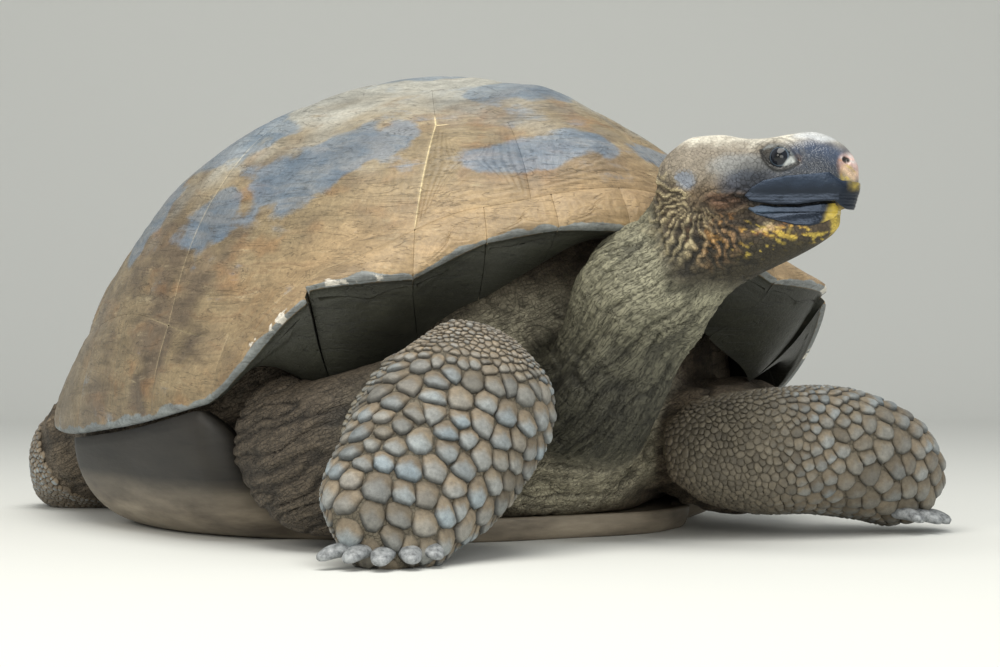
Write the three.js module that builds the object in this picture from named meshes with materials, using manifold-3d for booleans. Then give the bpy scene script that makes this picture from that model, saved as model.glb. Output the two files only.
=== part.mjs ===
// A life-size giant tortoise resting on its plastron, neck raised and head turned to its left.
// Units are millimetres, +Z is up, the head end is -Y and the animal's left is +X.
// The origin is on the floor, on the plastron's resting flat, under the middle of the shell.
import * as THREE from "three";
import { mergeVertices } from "three/addons/utils/BufferGeometryUtils.js";
import Module from "manifold-3d";

// ---------------------------------------------------------------- driving dimensions
const GAP = 1; // clearance between solids of flesh, and between flesh and shell
const TRUNK_GAP = 2; // the trunk keeps this much clear of limbs, neck and plastron
const TRUNK_UNDER_SHELL = 9; // the trunk's top lies this far under the plates
const SIMPLIFY = 0.7; // how far a face of the flesh may move when slivers are merged

const SHELL = {
  apexHeight: 569, // top of the dome above the floor
  apexY: -80, // the dome's top lies a little in front of the origin
  frontLength: 473, // origin to the front rim
  rearLength: 574, // origin to the rear rim
  halfWidth: 431,
  thickness: 13,
  bulge: { middle: 5, rim: 3 }, // how far a plate's middle stands above its edges
  seam: 0.9, // open seam between two plates
  draft: { middle: 0.6, rim: 2.4 }, // the plates' inner edges stand back by this much more
};
// Values round the rim at these angles from the front, the same on both sides.
const RIM_ANGLES = [0, 22, 42, 62, 90, 120, 150, 180];
const RIM = {
  height: [365, 342, 285, 165, 130, 115, 120, 100], // of the rim's edge above the floor
  fullness: [1.96, 1.7, 1.75, 1.94, 2.14, 1.9, 1.85, 1.9], // how boxy the meridian there is
  flare: [12, 10, 85, 37, 2, 12, 40, 35], // how far the marginals sweep outwards
  ring: [0.835, 0.83, 0.895, 0.87, 0.81, 0.8, 0.82, 0.835], // where the marginals begin
  hang: [50, 100, 125, 0, 0, 0, 0, 0], // how far the marginals' inner side hangs down
};
const HANG_LEAN = 0.35; // the hanging side leans inwards by this share of its drop
const FLARE_FROM = 0.78; // share of the way from apex to rim where the flare sets in

const COLOURS = {
  scute: 0x6e5a48,
  rim: 0x4c463f,
  plastron: 0x5f5147,
  beak: 0x23282e,
  eye: 0x14161a,
  leg: 0x6a6257,
  skin: 0x6f675b,
};

// ---------------------------------------------------------------- small helpers
const wasm = await Module();
wasm.setup();
const V = (x, y, z) => new THREE.Vector3(x, y, z);
const rad = THREE.MathUtils.degToRad;
const smooth = (x) => THREE.MathUtils.smoothstep(x, 0, 1);
const mix = THREE.MathUtils.lerp;
const range = (count, make) => Array.from({ length: count }, (_, i) => make(i));

// A closed triangle list as a manifold-3d solid, turned to face outwards if it faces in.
function solid(geometry, place) {
  const bare = geometry.index ? geometry.toNonIndexed() : geometry.clone();
  if (place) bare.applyMatrix4(place);
  const merged = mergeVertices(
    new THREE.BufferGeometry().setAttribute("position", bare.getAttribute("position")),
    1e-3,
  );
  const make = (order) =>
    new wasm.Manifold(
      new wasm.Mesh({
        numProp: 3,
        vertProperties: merged.attributes.position.array,
        triVerts: new Uint32Array(order),
      }),
    );
  const order = [...merged.index.array];
  const made = make(order);
  return made.volume() > 0 ? made : make(order.reverse());
}

const joined = (solids) => solids.reduce((all, one) => all.add(one));

// The largest body of a solid, as a BufferGeometry: a cut may leave crumbs beside it.
function geometryOf(made, tolerance) {
  const main = made.decompose().sort((a, b) => b.volume() - a.volume())[0];
  const { numProp, vertProperties, triVerts } = main.asOriginal().simplify(tolerance).getMesh();
  const points = new Float32Array((vertProperties.length / numProp) * 3);
  for (let i = 0; i < points.length / 3; i++)
    points.set(vertProperties.subarray(i * numProp, i * numProp + 3), i * 3);
  return new THREE.BufferGeometry()
    .setAttribute("position", new THREE.BufferAttribute(points, 3))
    .setIndex(new THREE.BufferAttribute(triVerts, 1));
}

// Rings of points joined into one closed surface, with a point closing each end.
function closedSurface(rings, first, last) {
  const points = [first, ...rings.flat(), last];
  const n = rings[0].length;
  const at = (ring, k) => 1 + ring * n + (k % n);
  const faces = [];
  for (let k = 0; k < n; k++) {
    faces.push(0, at(0, k + 1), at(0, k));
    for (let ring = 0; ring < rings.length - 1; ring++) {
      faces.push(at(ring, k), at(ring, k + 1), at(ring + 1, k + 1));
      faces.push(at(ring, k), at(ring + 1, k + 1), at(ring + 1, k));
    }
    faces.push(points.length - 1, at(rings.length - 1, k), at(rings.length - 1, k + 1));
  }
  return new THREE.BufferGeometry().setFromPoints(points).setIndex(faces);
}

// A limb or neck: superellipse sections carried along a smooth path.
// A station is [x, y, z, half-width, half-height]. "up" sets which way the height runs, or
// "across" which way the width runs; "straight" keeps every section square to one direction.
function loft(stations, options) {
  const { steps = 8, around = 12, power = 2.3, up = V(0, 0, 1) } = options;
  const { across, straight, place, grow = 0 } = options;
  const path = new THREE.CatmullRomCurve3(stations.map(([x, y, z]) => V(x, y, z)));
  const sizes = new THREE.CatmullRomCurve3(stations.map((s) => V(s[3] + grow, s[4] + grow, 0)));
  const centres = [];
  const rings = range(steps + 1, (i) => {
    const t = i / steps;
    const size = sizes.getPoint(t);
    const ahead = straight ?? path.getTangent(t);
    const beyond = i === 0 ? -grow : i === steps ? grow : 0; // a grown loft is longer too
    const centre = path.getPoint(t).addScaledVector(path.getTangent(t), beyond);
    const side = across
      ? across.clone().addScaledVector(ahead, -across.dot(ahead)).normalize()
      : V().crossVectors(ahead, up).normalize();
    const above = V().crossVectors(side, ahead).normalize();
    centres.push(centre);
    return range(around, (k) => {
      const [c, s] = [Math.cos((2 * Math.PI * k) / around), Math.sin((2 * Math.PI * k) / around)];
      const r = (Math.abs(c) ** power + Math.abs(s) ** power) ** (-1 / power);
      return centre.clone().addScaledVector(side, size.x * r * c).addScaledVector(above, size.y * r * s);
    });
  });
  return solid(closedSurface(rings, centres[0], centres.at(-1)), place);
}

// ---------------------------------------------------------------- the shell's surface
// A value of a rim table at any angle from the front, by a smooth curve through its entries.
function rimValue(table, phi) {
  const angle = Math.abs(Math.atan2(Math.sin(phi), Math.cos(phi)));
  const last = RIM_ANGLES.length - 1;
  const at = (i) => table[i < 0 ? -i : i > last ? 2 * last - i : i];
  let i = 0;
  while (i < last - 1 && angle > rad(RIM_ANGLES[i + 1])) i++;
  const t = (angle - rad(RIM_ANGLES[i])) / rad(RIM_ANGLES[i + 1] - RIM_ANGLES[i]);
  const slope = (j) => {
    const before = at(j) - at(j - 1);
    const after = at(j + 1) - at(j);
    return before * after <= 0 ? 0 : (2 * before * after) / (before + after);
  };
  const h = t * t * (3 - 2 * t);
  return (
    at(i) * (1 - h) + at(i + 1) * h +
    slope(i) * (t ** 3 - 2 * t * t + t) + slope(i + 1) * (t ** 3 - t * t)
  );
}

// The dome's outer surface. rho runs from 0 at the apex to 1 at the rim, phi is 0 at the front.
function dome(rho, phi) {
  const s = Math.sin(phi);
  const c = Math.cos(phi);
  const length = c > 0 ? SHELL.frontLength : SHELL.rearLength;
  const reach = Math.hypot(s / SHELL.halfWidth, c / length) ** -1;
  const m = rimValue(RIM.fullness, phi);
  const t = (rho * Math.PI) / 2;
  const out = Math.max(Math.sin(t), 0) ** (2 / m);
  const rise = Math.max(Math.cos(t), 0) ** (2 / m);
  const flare = rimValue(RIM.flare, phi) * smooth((rho - FLARE_FROM) / (1 - FLARE_FROM));
  const rim = rimValue(RIM.height, phi);
  return V(
    (reach * out + flare) * s,
    SHELL.apexY * (1 - out) - (reach * out + flare) * c,
    mix(rim, SHELL.apexHeight, rise),
  );
}

// A point of the disk that the dome is laid out on: p is to the left, q to the rear.
// Beyond the rim it runs straight on.
function domeAt(p, q) {
  const rho = Math.hypot(p, q);
  const phi = Math.atan2(p, -q);
  if (rho <= 1) return dome(rho, phi);
  const rim = dome(1, phi);
  return rim.clone().addScaledVector(rim.sub(dome(0.98, phi)), (rho - 1) / 0.02);
}

// The direction a plate's thickness runs in: halfway between the dome's true normal and that
// of a plain ellipsoid, so that it turns evenly where the rim flares.
function domeNormal(p, q) {
  const step = 0.02;
  const edge = Math.hypot(p, q) > 1 - step ? 1 - step : 1;
  const [x, y] = [p * edge, q * edge];
  const dp = domeAt(x + step, y).sub(domeAt(x - step, y));
  const dq = domeAt(x, y + step).sub(domeAt(x, y - step));
  const here = domeAt(p, q);
  const middleHeight = 60;
  const plain = V(
    here.x / SHELL.halfWidth ** 2,
    here.y / (0.5 * (SHELL.frontLength + SHELL.rearLength)) ** 2,
    (here.z - middleHeight) / (SHELL.apexHeight - middleHeight) ** 2,
  ).normalize();
  return V().crossVectors(dp, dq).normalize().add(plain).normalize();
}

// ---------------------------------------------------------------- the seams of the carapace
// Corners where seams meet, on the disk, for the animal's left: the right side mirrors them.
const CORNER = {
  v12: [0.12, -0.495],
  c12: [0.235, -0.42],
  v23: [0.135, -0.19],
  c23: [0.255, 0.02],
  v34: [0.135, 0.22],
  c34: [0.24, 0.42],
  v45: [0.11, 0.58],
};
// Where the costal seams reach the marginals, and the seams between marginals, in degrees.
const FOOT = { v1: 14, c12: 31, c23: 76, c34: 118, v5: 162 };
const MARGINAL_SEAMS = [0, 11, 21, 31, 44, 60, 76, 92, 108, 126, 145, 168];
const BACK = 360 - MARGINAL_SEAMS.at(-1);

const mirrored = ([p, q]) => [-p, q];
const rimPoint = (deg) => [Math.sin(rad(deg)), -Math.cos(rad(deg))];
const ringPoint = (deg) => rimPoint(deg).map((v) => v * rimValue(RIM.ring, rad(deg)));

// A seam between two corners, without its last point.
const seam = (a, b, pieces) =>
  range(pieces, (i) => [mix(a[0], b[0], i / pieces), mix(a[1], b[1], i / pieces)]);

// Angles where every plate on the marginal ring has a point, so that neighbours share them:
// each marginal's seam and middle, and the costal seams' feet, right round the shell.
const RING_ANGLES = (() => {
  const half = new Set([...MARGINAL_SEAMS, ...Object.values(FOOT), 180]);
  MARGINAL_SEAMS.forEach((a, i) => half.add((a + (MARGINAL_SEAMS[i + 1] ?? 180)) / 2));
  const right = [...half].map((a) => 360 - a);
  return [...new Set([...half, ...right])].sort((a, b) => a - b);
})();

// Points round the ring or rim from one angle to another either way, without the last one.
function arc(from, to, at = ringPoint) {
  const step = Math.sign(to - from);
  const inside = (a) => step * (a - from) >= 0 && step * (to - a) > 0;
  const turns = new Set([...RING_ANGLES.map((a) => a - 360), ...RING_ANGLES].filter(inside));
  return [...turns].sort((a, b) => step * (a - b)).map(at);
}

// ---------------------------------------------------------------- the plates
// The underside of a marginal hangs down and leans in, from nothing at the rim's edge.
function hang(p, q, grow) {
  const phi = Math.atan2(p, -q);
  const share = (1 - Math.hypot(p, q)) / (1 - rimValue(RIM.ring, phi));
  const drop = rimValue(RIM.hang, phi) * THREE.MathUtils.clamp(share, 0, 1);
  return V(-Math.sin(phi) * drop * HANG_LEAN, Math.cos(phi) * drop * HANG_LEAN, -drop - 3 * grow);
}

const level = () => V();
const MIDDLE_PLATE = { kind: "middle", outerRings: [0.3, 0.65, 1], innerRings: [1, 0.5], below: level };
const RIM_PLATE = { kind: "rim", outerRings: [0.55, 1], innerRings: [1], below: hang };

// One horny plate: an outer face raised in the middle, an inner face, and the walls between.
// It falls short of its outline by half a seam; "grow" moves every face outwards instead.
function plate(outline, { kind, outerRings, innerRings, below }, grow, side = 1) {
  const bulge = SHELL.bulge[kind];
  const n = outline.length;
  const [cp, cq] = outline.reduce(([p, q], o) => [p + o[0] / n, q + o[1] / n], [0, 0]);
  const middle = domeAt(cp, cq);
  const normal = domeNormal(cp, cq);
  const moved = (by) =>
    outline.map(([p, q]) => {
      const k = 1 + by / domeAt(p, q).distanceTo(middle);
      return [mix(cp, p, k), mix(cq, q, k)];
    });
  const face = (edge, t, lift, shift = level) =>
    edge.map(([p, q]) => {
      const [a, b] = [mix(cp, p, t), mix(cq, q, t)];
      return domeAt(a, b).addScaledVector(domeNormal(a, b), lift).add(shift(a, b, grow));
    });
  const outerEdge = moved(grow || -SHELL.seam / 2);
  const innerEdge = moved(grow || -SHELL.seam / 2 - SHELL.draft[kind]);
  const outer = outerRings.map((t) => face(outerEdge, t, bulge * (1 - t ** 3) + grow));
  const inner = innerRings.map((t) => face(innerEdge, t, -SHELL.thickness - grow, below));
  const surface = closedSurface(
    [...outer, ...inner],
    middle.clone().addScaledVector(normal, bulge + grow),
    middle.clone().addScaledVector(normal, -SHELL.thickness - grow).add(below(cp, cq, grow)),
  );
  return solid(surface, new THREE.Matrix4().makeScale(side, 1, 1));
}

// Outlines of the plates on the midline, and of those on the left.
function midlineOutlines() {
  const C = CORNER;
  const middle = (front, side, back) => [
    ...seam(mirrored(front), front, 3), ...seam(front, side, 3), ...seam(side, back, 3),
    ...seam(back, mirrored(back), 3), ...seam(mirrored(back), mirrored(side), 3),
    ...seam(mirrored(side), mirrored(front), 3),
  ];
  return {
    vertebral_1: [
      ...arc(-FOOT.v1, FOOT.v1), ...seam(ringPoint(FOOT.v1), C.v12, 3),
      ...seam(C.v12, mirrored(C.v12), 3), ...seam(mirrored(C.v12), ringPoint(-FOOT.v1), 3),
    ],
    vertebral_2: middle(C.v12, C.c12, C.v23),
    vertebral_3: middle(C.v23, C.c23, C.v34),
    vertebral_4: middle(C.v34, C.c34, C.v45),
    vertebral_5: [
      ...seam(mirrored(C.v45), C.v45, 3), ...seam(C.v45, ringPoint(FOOT.v5), 3),
      ...arc(FOOT.v5, 360 - FOOT.v5), ...seam(ringPoint(360 - FOOT.v5), mirrored(C.v45), 3),
    ],
  };
}
// A costal runs along the ring between two feet, then round by the corners it touches.
function costalOutline(from, to, corners) {
  const stops = [ringPoint(to), ...corners, ringPoint(from)];
  const pieces = (i) => (i === 0 || i === stops.length - 2 ? 4 : 3);
  return [...arc(from, to), ...stops.slice(0, -1).flatMap((a, i) => seam(a, stops[i + 1], pieces(i)))];
}
function costalOutlines() {
  const C = CORNER;
  return {
    costal_1: costalOutline(FOOT.v1, FOOT.c12, [C.c12, C.v12]),
    costal_2: costalOutline(FOOT.c12, FOOT.c23, [C.c23, C.v23, C.c12]),
    costal_3: costalOutline(FOOT.c23, FOOT.c34, [C.c34, C.v34, C.c23]),
    costal_4: costalOutline(FOOT.c34, FOOT.v5, [C.v45, C.c34]),
  };
}
const marginalOutline = (from, to) => [
  ...arc(from, to, rimPoint), ...seam(rimPoint(to), ringPoint(to), 2),
  ...arc(to, from), ...seam(ringPoint(from), rimPoint(from), 2),
];

function carapace(grow) {
  const plates = {};
  const pair = (name, outline, form) => {
    plates[`${name}_l`] = plate(outline, form, grow);
    plates[`${name}_r`] = plate(outline, form, grow, -1);
  };
  for (const [name, outline] of Object.entries(midlineOutlines()))
    plates[name] = plate(outline, MIDDLE_PLATE, grow);
  for (const [name, outline] of Object.entries(costalOutlines())) pair(name, outline, MIDDLE_PLATE);
  MARGINAL_SEAMS.slice(0, -1).forEach((from, i) =>
    pair(`marginal_${i + 1}`, marginalOutline(from, MARGINAL_SEAMS[i + 1]), RIM_PLATE),
  );
  plates.supracaudal = plate(marginalOutline(MARGINAL_SEAMS.at(-1), BACK), RIM_PLATE, grow);
  return plates;
}

// ---------------------------------------------------------------- the plastron and its bridges
const PLASTRON = {
  angles: [0, 20, 35, 50, 65, 90, 115, 130, 145, 160, 180],
  reach: [352, 366, 358, 335, 338, 345, 350, 345, 366, 408, 425], // edge of the resting flat
  lip: 28, // thickness of the free lobes
  overhang: 13, // the lobes' upper edge stands out by this much
  floor: 24, // inner floor above the ground
  wall: 15, // thickness of the bridges
  bridge: [58, 118], // angles between which the bridges rise to the marginals
  blend: 12, // degrees over which a lobe turns into a bridge
  tuckIn: 4, // the bridge's top stands this far inside the rim, and 5 below it
  tuckUnder: 5,
};
function plastronReach(degrees) {
  const { angles, reach } = PLASTRON;
  const a = Math.min(degrees, 360 - degrees);
  const i = Math.min(angles.findLastIndex((from) => a >= from), angles.length - 2);
  return mix(reach[i], reach[i + 1], smooth((a - angles[i]) / (angles[i + 1] - angles[i])));
}
function plastron(grow) {
  const P = PLASTRON;
  const around = 36;
  // "lean" runs from 0 on the flat to a quarter turn at the top edge.
  const point = (deg, lean, inside) => {
    const a = Math.min(deg, 360 - deg);
    const bridge =
      smooth((a - P.bridge[0]) / P.blend + 0.5) * smooth((P.bridge[1] - a) / P.blend + 0.5);
    const flat = plastronReach(deg);
    const rim = dome(1, rad(deg));
    const reach = mix(flat + P.overhang, Math.hypot(rim.x, rim.y) - P.tuckIn, bridge);
    const top = mix(P.lip, rim.z - P.tuckUnder, bridge);
    const r = mix(flat, reach, Math.sin(lean)) + (inside ? -P.wall - grow : grow);
    const raised = top * (1 - Math.cos(lean)) + (lean > 1.5 ? grow : -grow * Math.cos(lean));
    const z = inside ? Math.max(raised, P.floor + grow) : raised;
    return V(r * Math.sin(rad(deg)), -r * Math.cos(rad(deg)), z);
  };
  const ring = (lean, inside, share = 1) =>
    range(around, (k) => point((360 * k) / around, lean, inside).multiply(V(share, share, 1)));
  const leans = [0.5, 1.05, Math.PI / 2];
  const rings = [
    ring(0, false, 0.5), ring(0, false), ...leans.map((lean) => ring(lean, false)),
    ...leans.toReversed().map((lean) => ring(lean, true)), ring(0, true, 0.93),
  ];
  return solid(closedSurface(rings, V(0, 0, -grow), V(0, 0, P.floor + grow)));
}

// ---------------------------------------------------------------- the head
// The head's own axes: u runs forward to the snout, v to its left, w up.
const HEAD_PLACE = new THREE.Matrix4().makeRotationZ(rad(-50)).setPosition(V(35, -534, 399));
// Sections square to u: [u, half-width, top, bottom].
const CRANIUM = [
  [-22, 30, 42, -30], [-8, 47, 57, -44], [18, 58, 72, -52], [48, 60, 74, -48],
  [78, 57, 69, -36], [104, 53, 69, -22], [132, 48, 73, -12], [155, 42, 75, -10],
  [174, 35, 69, -10], [190, 26, 58, -14], [199, 16, 47, -12], [206, 7, 35, 6],
];
const JAW = [
  [-10, 34, 10, -70], [18, 50, 10, -98], [48, 55, 5, -104], [78, 53, 0, -93],
  [106, 46, -2, -80], [134, 38, -4, -67], [157, 30, -5, -55], [175, 21, -7, -43], [184, 11, -12, -32],
];
// The beak's two sheaths, outlined in u and w.
const UPPER_BEAK = [
  [70, 3], [84, 13], [104, 21], [132, 25], [158, 25], [178, 27], [190, 18], [230, 14],
  [230, -30], [190, -30], [188, -11], [183, -5], [164, -6], [143, -9], [118, -9], [92, -5],
];
const LOWER_BEAK = [
  [82, -10], [84, -6], [92, -6.5], [118, -10.5], [143, -10.5], [164, -7.5], [183, -6.5],
  [187, -14], [180, -24], [170, -29], [156, -33], [140, -32], [117, -26], [98, -20],
];
const BEAK_PROUD = 1.2; // the horn stands a little proud of the skin round it
const EYE = { at: V(126, 38, 43), radius: 15, clearance: 0.4 };

function headLoft(sections, steps, grow) {
  const stations = sections.map(([u, half, top, bottom]) => [
    u, 0, (top + bottom) / 2, half, (top - bottom) / 2,
  ]);
  return loft(stations, { straight: V(1, 0, 0), steps, around: 16, place: HEAD_PLACE, grow });
}
const headShape = (grow) => headLoft(CRANIUM, 12, grow).add(headLoft(JAW, 9, grow));

// A prism right through the head from an outline in u and w, shifted each way to make it grow.
function headPrism(points, grow = 0) {
  const width = 200;
  const shape = new THREE.Shape(points.map(([u, w]) => new THREE.Vector2(u, w)));
  const prism = new THREE.ExtrudeGeometry(shape, { depth: width, bevelEnabled: false })
    .rotateX(Math.PI / 2)
    .translate(0, width / 2, 0);
  const shifts = grow ? [[0, grow], [0, -grow], [grow, 0], [-grow, 0]] : [[0, 0]];
  return joined(shifts.map(([u, w]) => solid(prism.clone().translate(u, 0, w), HEAD_PLACE)));
}
const eyeball = (side, grow) =>
  solid(
    new THREE.SphereGeometry(EYE.radius + grow, 9, 6).translate(EYE.at.x, side * EYE.at.y, EYE.at.z),
    HEAD_PLACE,
  );

function headParts() {
  const horn = joined([UPPER_BEAK, LOWER_BEAK].map((outline) => headPrism(outline, 1.6 * GAP)));
  return {
    head: headShape(0)
      .subtract(horn)
      .subtract(eyeball(1, EYE.clearance))
      .subtract(eyeball(-1, EYE.clearance)),
    beak_upper: headShape(BEAK_PROUD).intersect(headPrism(UPPER_BEAK)),
    beak_lower: headShape(BEAK_PROUD).intersect(headPrism(LOWER_BEAK)),
    eye_l: eyeball(1, 0),
    eye_r: eyeball(-1, 0),
  };
}

// ---------------------------------------------------------------- neck, limbs, tail and trunk
const NECK = [
  [0, -300, 150, 112, 95], [-2, -372, 152, 98, 90], [-6, -432, 180, 76, 74],
  [0, -466, 232, 69, 73], [12, -494, 285, 78, 80], [38, -531, 335, 62, 70],
  [50, -549, 380, 53, 54], [58, -556, 405, 36, 36],
];
const FORELEG_R = [
  [-152, -455, 238, 22, 22], [-168, -457, 218, 74, 56], [-205, -466, 168, 100, 78],
  [-262, -486, 116, 102, 76], [-322, -515, 74, 88, 66], [-366, -542, 42, 76, 52],
  [-400, -566, 26, 46, 26],
];
const FORELEG_R_UPPER = [
  [-205, -430, 170, 40, 40], [-232, -408, 152, 80, 76], [-292, -362, 116, 86, 88],
  [-318, -318, 104, 74, 90], [-318, -255, 128, 74, 80], [-312, -210, 150, 46, 50],
];
const FORELEG_L = [
  [118, -388, 100, 30, 34], [150, -412, 104, 62, 66], [228, -440, 102, 78, 86],
  [310, -454, 102, 80, 90], [378, -468, 84, 74, 80], [424, -480, 56, 60, 58],
  [450, -488, 36, 32, 26],
];
const FORELEG_L_UPPER = [
  [160, -378, 98, 40, 40], [205, -350, 104, 80, 76], [285, -318, 100, 88, 84],
  [318, -258, 120, 80, 76], [315, -205, 140, 46, 46],
];
const HINDLEG = [
  [318, 392, 90, 30, 30], [308, 418, 78, 68, 60], [282, 458, 50, 76, 60],
  [262, 495, 32, 74, 46], [250, 530, 20, 44, 24],
];
const HINDLEG_UPPER = [
  [250, 250, 140, 50, 50], [262, 320, 125, 88, 76], [285, 395, 100, 92, 78],
  [300, 440, 86, 62, 58], [304, 470, 80, 26, 24],
];
const TAIL = [
  [0, 395, 80, 30, 30], [0, 440, 74, 42, 38], [6, 480, 62, 34, 30], [16, 520, 46, 24, 21],
  [30, 552, 32, 14, 12], [36, 566, 27, 5, 4],
];
const TRUNK = [
  [0, -350, 150, 105, 96], [0, -336, 155, 150, 122], [0, -300, 175, 215, 165],
  [0, -230, 215, 305, 225], [0, -110, 250, 440, 275], [0, 40, 260, 470, 280],
  [0, 220, 235, 440, 240], [0, 360, 195, 350, 190], [0, 420, 165, 250, 145],
  [0, 446, 140, 130, 100],
];
const BROAD_FACE_R = V(-0.45, -0.9, 0); // the right foreleg's flat front looks this way
const BROAD_FACE_L = V(0, -1, 0.15);

// Claws: where each leaves the foot, and its heading in degrees from -Y, turning left.
const CLAW = { length: 26, radius: 11 };
const CLAWS = {
  foreleg_r_lower: [
    [-326, -582, 20, -8], [-356, -592, 18, -22], [-386, -588, 17, -38], [-404, -568, 19, -58],
    [-418, -548, 20, -80],
  ],
  foreleg_l_lower: [
    [382, -528, 26, 10], [408, -527, 23, 26], [431, -516, 21, 46], [446, -499, 21, 66],
    [451, -478, 22, 86],
  ],
  hindleg_l_lower: [[288, 538, 17, 158], [265, 541, 17, 168], [241, 536, 17, 178], [218, 529, 17, 190]],
};
CLAWS.hindleg_r_lower = CLAWS.hindleg_l_lower.map(([x, y, z, heading]) => [-x, y, z, -heading]);

function claw([x, y, z, heading]) {
  const [dx, dy] = [Math.sin(rad(heading)), -Math.cos(rad(heading))];
  const station = (along, drop, share) => {
    const d = along * CLAW.length;
    return [x + dx * d, y + dy * d, z - drop, CLAW.radius * share, CLAW.radius * share * 0.8];
  };
  const stations = [station(-0.6, 0, 1), station(0, 1, 1), station(0.6, 5, 0.7), station(1, 12, 0.25)];
  return loft(stations, { steps: 2, around: 6, power: 2 });
}

const opposite = (stations) => stations.map(([x, ...rest]) => [-x, ...rest]);
const along = (stations, options) => (grow) => loft(stations, { ...options, grow });
const neckShape = along(NECK, { steps: 10, power: 2.1, across: V(1, 0, 0) });
const LIMBS = {
  foreleg_r_lower: along(FORELEG_R, { up: BROAD_FACE_R, steps: 10, around: 14 }),
  foreleg_l_lower: along(FORELEG_L, { up: BROAD_FACE_L, steps: 10, around: 14, power: 2.5 }),
  foreleg_r_upper: along(FORELEG_R_UPPER, {}),
  foreleg_l_upper: along(FORELEG_L_UPPER, {}),
  hindleg_l_lower: along(HINDLEG, { steps: 6, around: 10 }),
  hindleg_r_lower: along(opposite(HINDLEG), { steps: 6, around: 10 }),
  hindleg_l_upper: along(HINDLEG_UPPER, { steps: 5, around: 9 }),
  hindleg_r_upper: along(opposite(HINDLEG_UPPER), { steps: 5, around: 9 }),
  tail: along(TAIL, { steps: 6, around: 8 }),
};

// The room under the dome, which bounds the trunk.
function underDome() {
  const around = 28;
  const inside = (rho, k) => {
    const [p, q] = rimPoint((360 * k) / around).map((v) => v * rho);
    return domeAt(p, q).addScaledVector(domeNormal(p, q), -SHELL.thickness - TRUNK_UNDER_SHELL);
  };
  const rings = [0.25, 0.48, 0.68, 0.85, 1].map((rho) => range(around, (k) => inside(rho, k)));
  const foot = rings.at(-1).map((p) => V(p.x, p.y, 0));
  return solid(closedSurface([...rings, foot], inside(0, 0), V(0, 0, 0)));
}

// Each piece is cut back from those that come before it: shell, head, neck, limbs, trunk.
function fleshParts() {
  const shell = joined(Object.values(carapace(GAP))).add(plastron(GAP));
  const head = headShape(GAP);
  const belowFloor = solid(new THREE.BoxGeometry(2000, 2000, 400).translate(0, 0, -200));
  const parts = { ...headParts(), neck: neckShape(0).subtract(head).subtract(shell) };
  let taken = neckShape(GAP).add(head);
  const hungRim = Object.entries(carapace(TRUNK_GAP)).filter(([name]) => /^marginal_[1-5]_/.test(name));
  let trunkClear = neckShape(TRUNK_GAP).add(plastron(TRUNK_GAP)).add(joined(hungRim.map(([, made]) => made)));
  for (const [name, shape] of Object.entries(LIMBS)) {
    const whole = joined([shape(0), ...(CLAWS[name] ?? []).map(claw)]);
    parts[name] = whole.subtract(belowFloor).subtract(taken).subtract(shell);
    taken = taken.add(shape(GAP));
    trunkClear = trunkClear.add(shape(TRUNK_GAP));
  }
  parts.trunk = loft(TRUNK, { steps: 8, around: 15, power: 2.6, straight: V(0, 1, 0) })
    .intersect(underDome())
    .subtract(trunkClear);
  return parts;
}

// ---------------------------------------------------------------- the model
// How far a part's faces may move when slivers are merged: plates and horn keep theirs.
function toleranceOf(name) {
  if (name === "trunk") return 3 * SIMPLIFY;
  return /head|neck|leg|tail/.test(name) ? SIMPLIFY : 0.05;
}
function colourOf(name) {
  if (/^(vertebral|costal)/.test(name)) return COLOURS.scute;
  if (/^(marginal|supracaudal)/.test(name)) return COLOURS.rim;
  const kind = ["plastron", "beak", "eye", "leg"].find((word) => name.includes(word));
  return COLOURS[kind ?? "skin"];
}

const tortoise = new THREE.Group();
tortoise.name = "giant_tortoise";
for (const [name, made] of Object.entries({ ...carapace(0), plastron: plastron(0), ...fleshParts() })) {
  const geometry = geometryOf(made, toleranceOf(name));
  const mesh = new THREE.Mesh(
    geometry,
    new THREE.MeshStandardMaterial({ color: colourOf(name), roughness: 0.75, flatShading: true }),
  );
  mesh.name = name;
  tortoise.add(mesh);
}
export default tortoise;
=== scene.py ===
# %% [markdown]
# # A giant tortoise at rest
# A life-size model of a giant tortoise lying on its plastron, neck raised, head turned to its
# left. The solid model gives the places and sizes. This lesson dresses it: horny shell plates,
# one wrinkled hide over all the flesh, thousands of scales, a beak, eyes and claws.

import bpy
import numpy as np
import openvdb
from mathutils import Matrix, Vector


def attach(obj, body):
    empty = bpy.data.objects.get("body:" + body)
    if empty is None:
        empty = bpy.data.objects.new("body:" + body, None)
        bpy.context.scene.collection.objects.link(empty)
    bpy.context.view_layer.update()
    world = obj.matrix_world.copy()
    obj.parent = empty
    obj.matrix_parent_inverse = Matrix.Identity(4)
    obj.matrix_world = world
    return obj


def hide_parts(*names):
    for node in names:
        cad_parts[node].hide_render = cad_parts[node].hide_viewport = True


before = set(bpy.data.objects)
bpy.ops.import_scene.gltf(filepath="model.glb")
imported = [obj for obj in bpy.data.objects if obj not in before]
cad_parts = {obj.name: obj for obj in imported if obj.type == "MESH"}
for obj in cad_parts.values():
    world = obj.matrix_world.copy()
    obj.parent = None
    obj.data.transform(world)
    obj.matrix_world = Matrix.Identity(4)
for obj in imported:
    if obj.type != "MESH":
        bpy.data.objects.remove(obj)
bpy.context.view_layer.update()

# %% [markdown]
# ## Helpers
# Shapes are worked out in millimetres as whole numpy arrays and turned into metres when they
# enter a mesh. Colours are written as sRGB hex and turned linear, because shaders add light.

# %% Colours, nodes and meshes
MM = 0.001


def linear(colour):
    """sRGB hex to linear light: c/12.92 for dark values, ((c + 0.055)/1.055)^2.4 for others."""
    c = np.array([colour >> 16 & 255, colour >> 8 & 255, colour & 255]) / 255
    return np.where(c <= 0.04045, c / 12.92, ((c + 0.055) / 1.055) ** 2.4)


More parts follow.
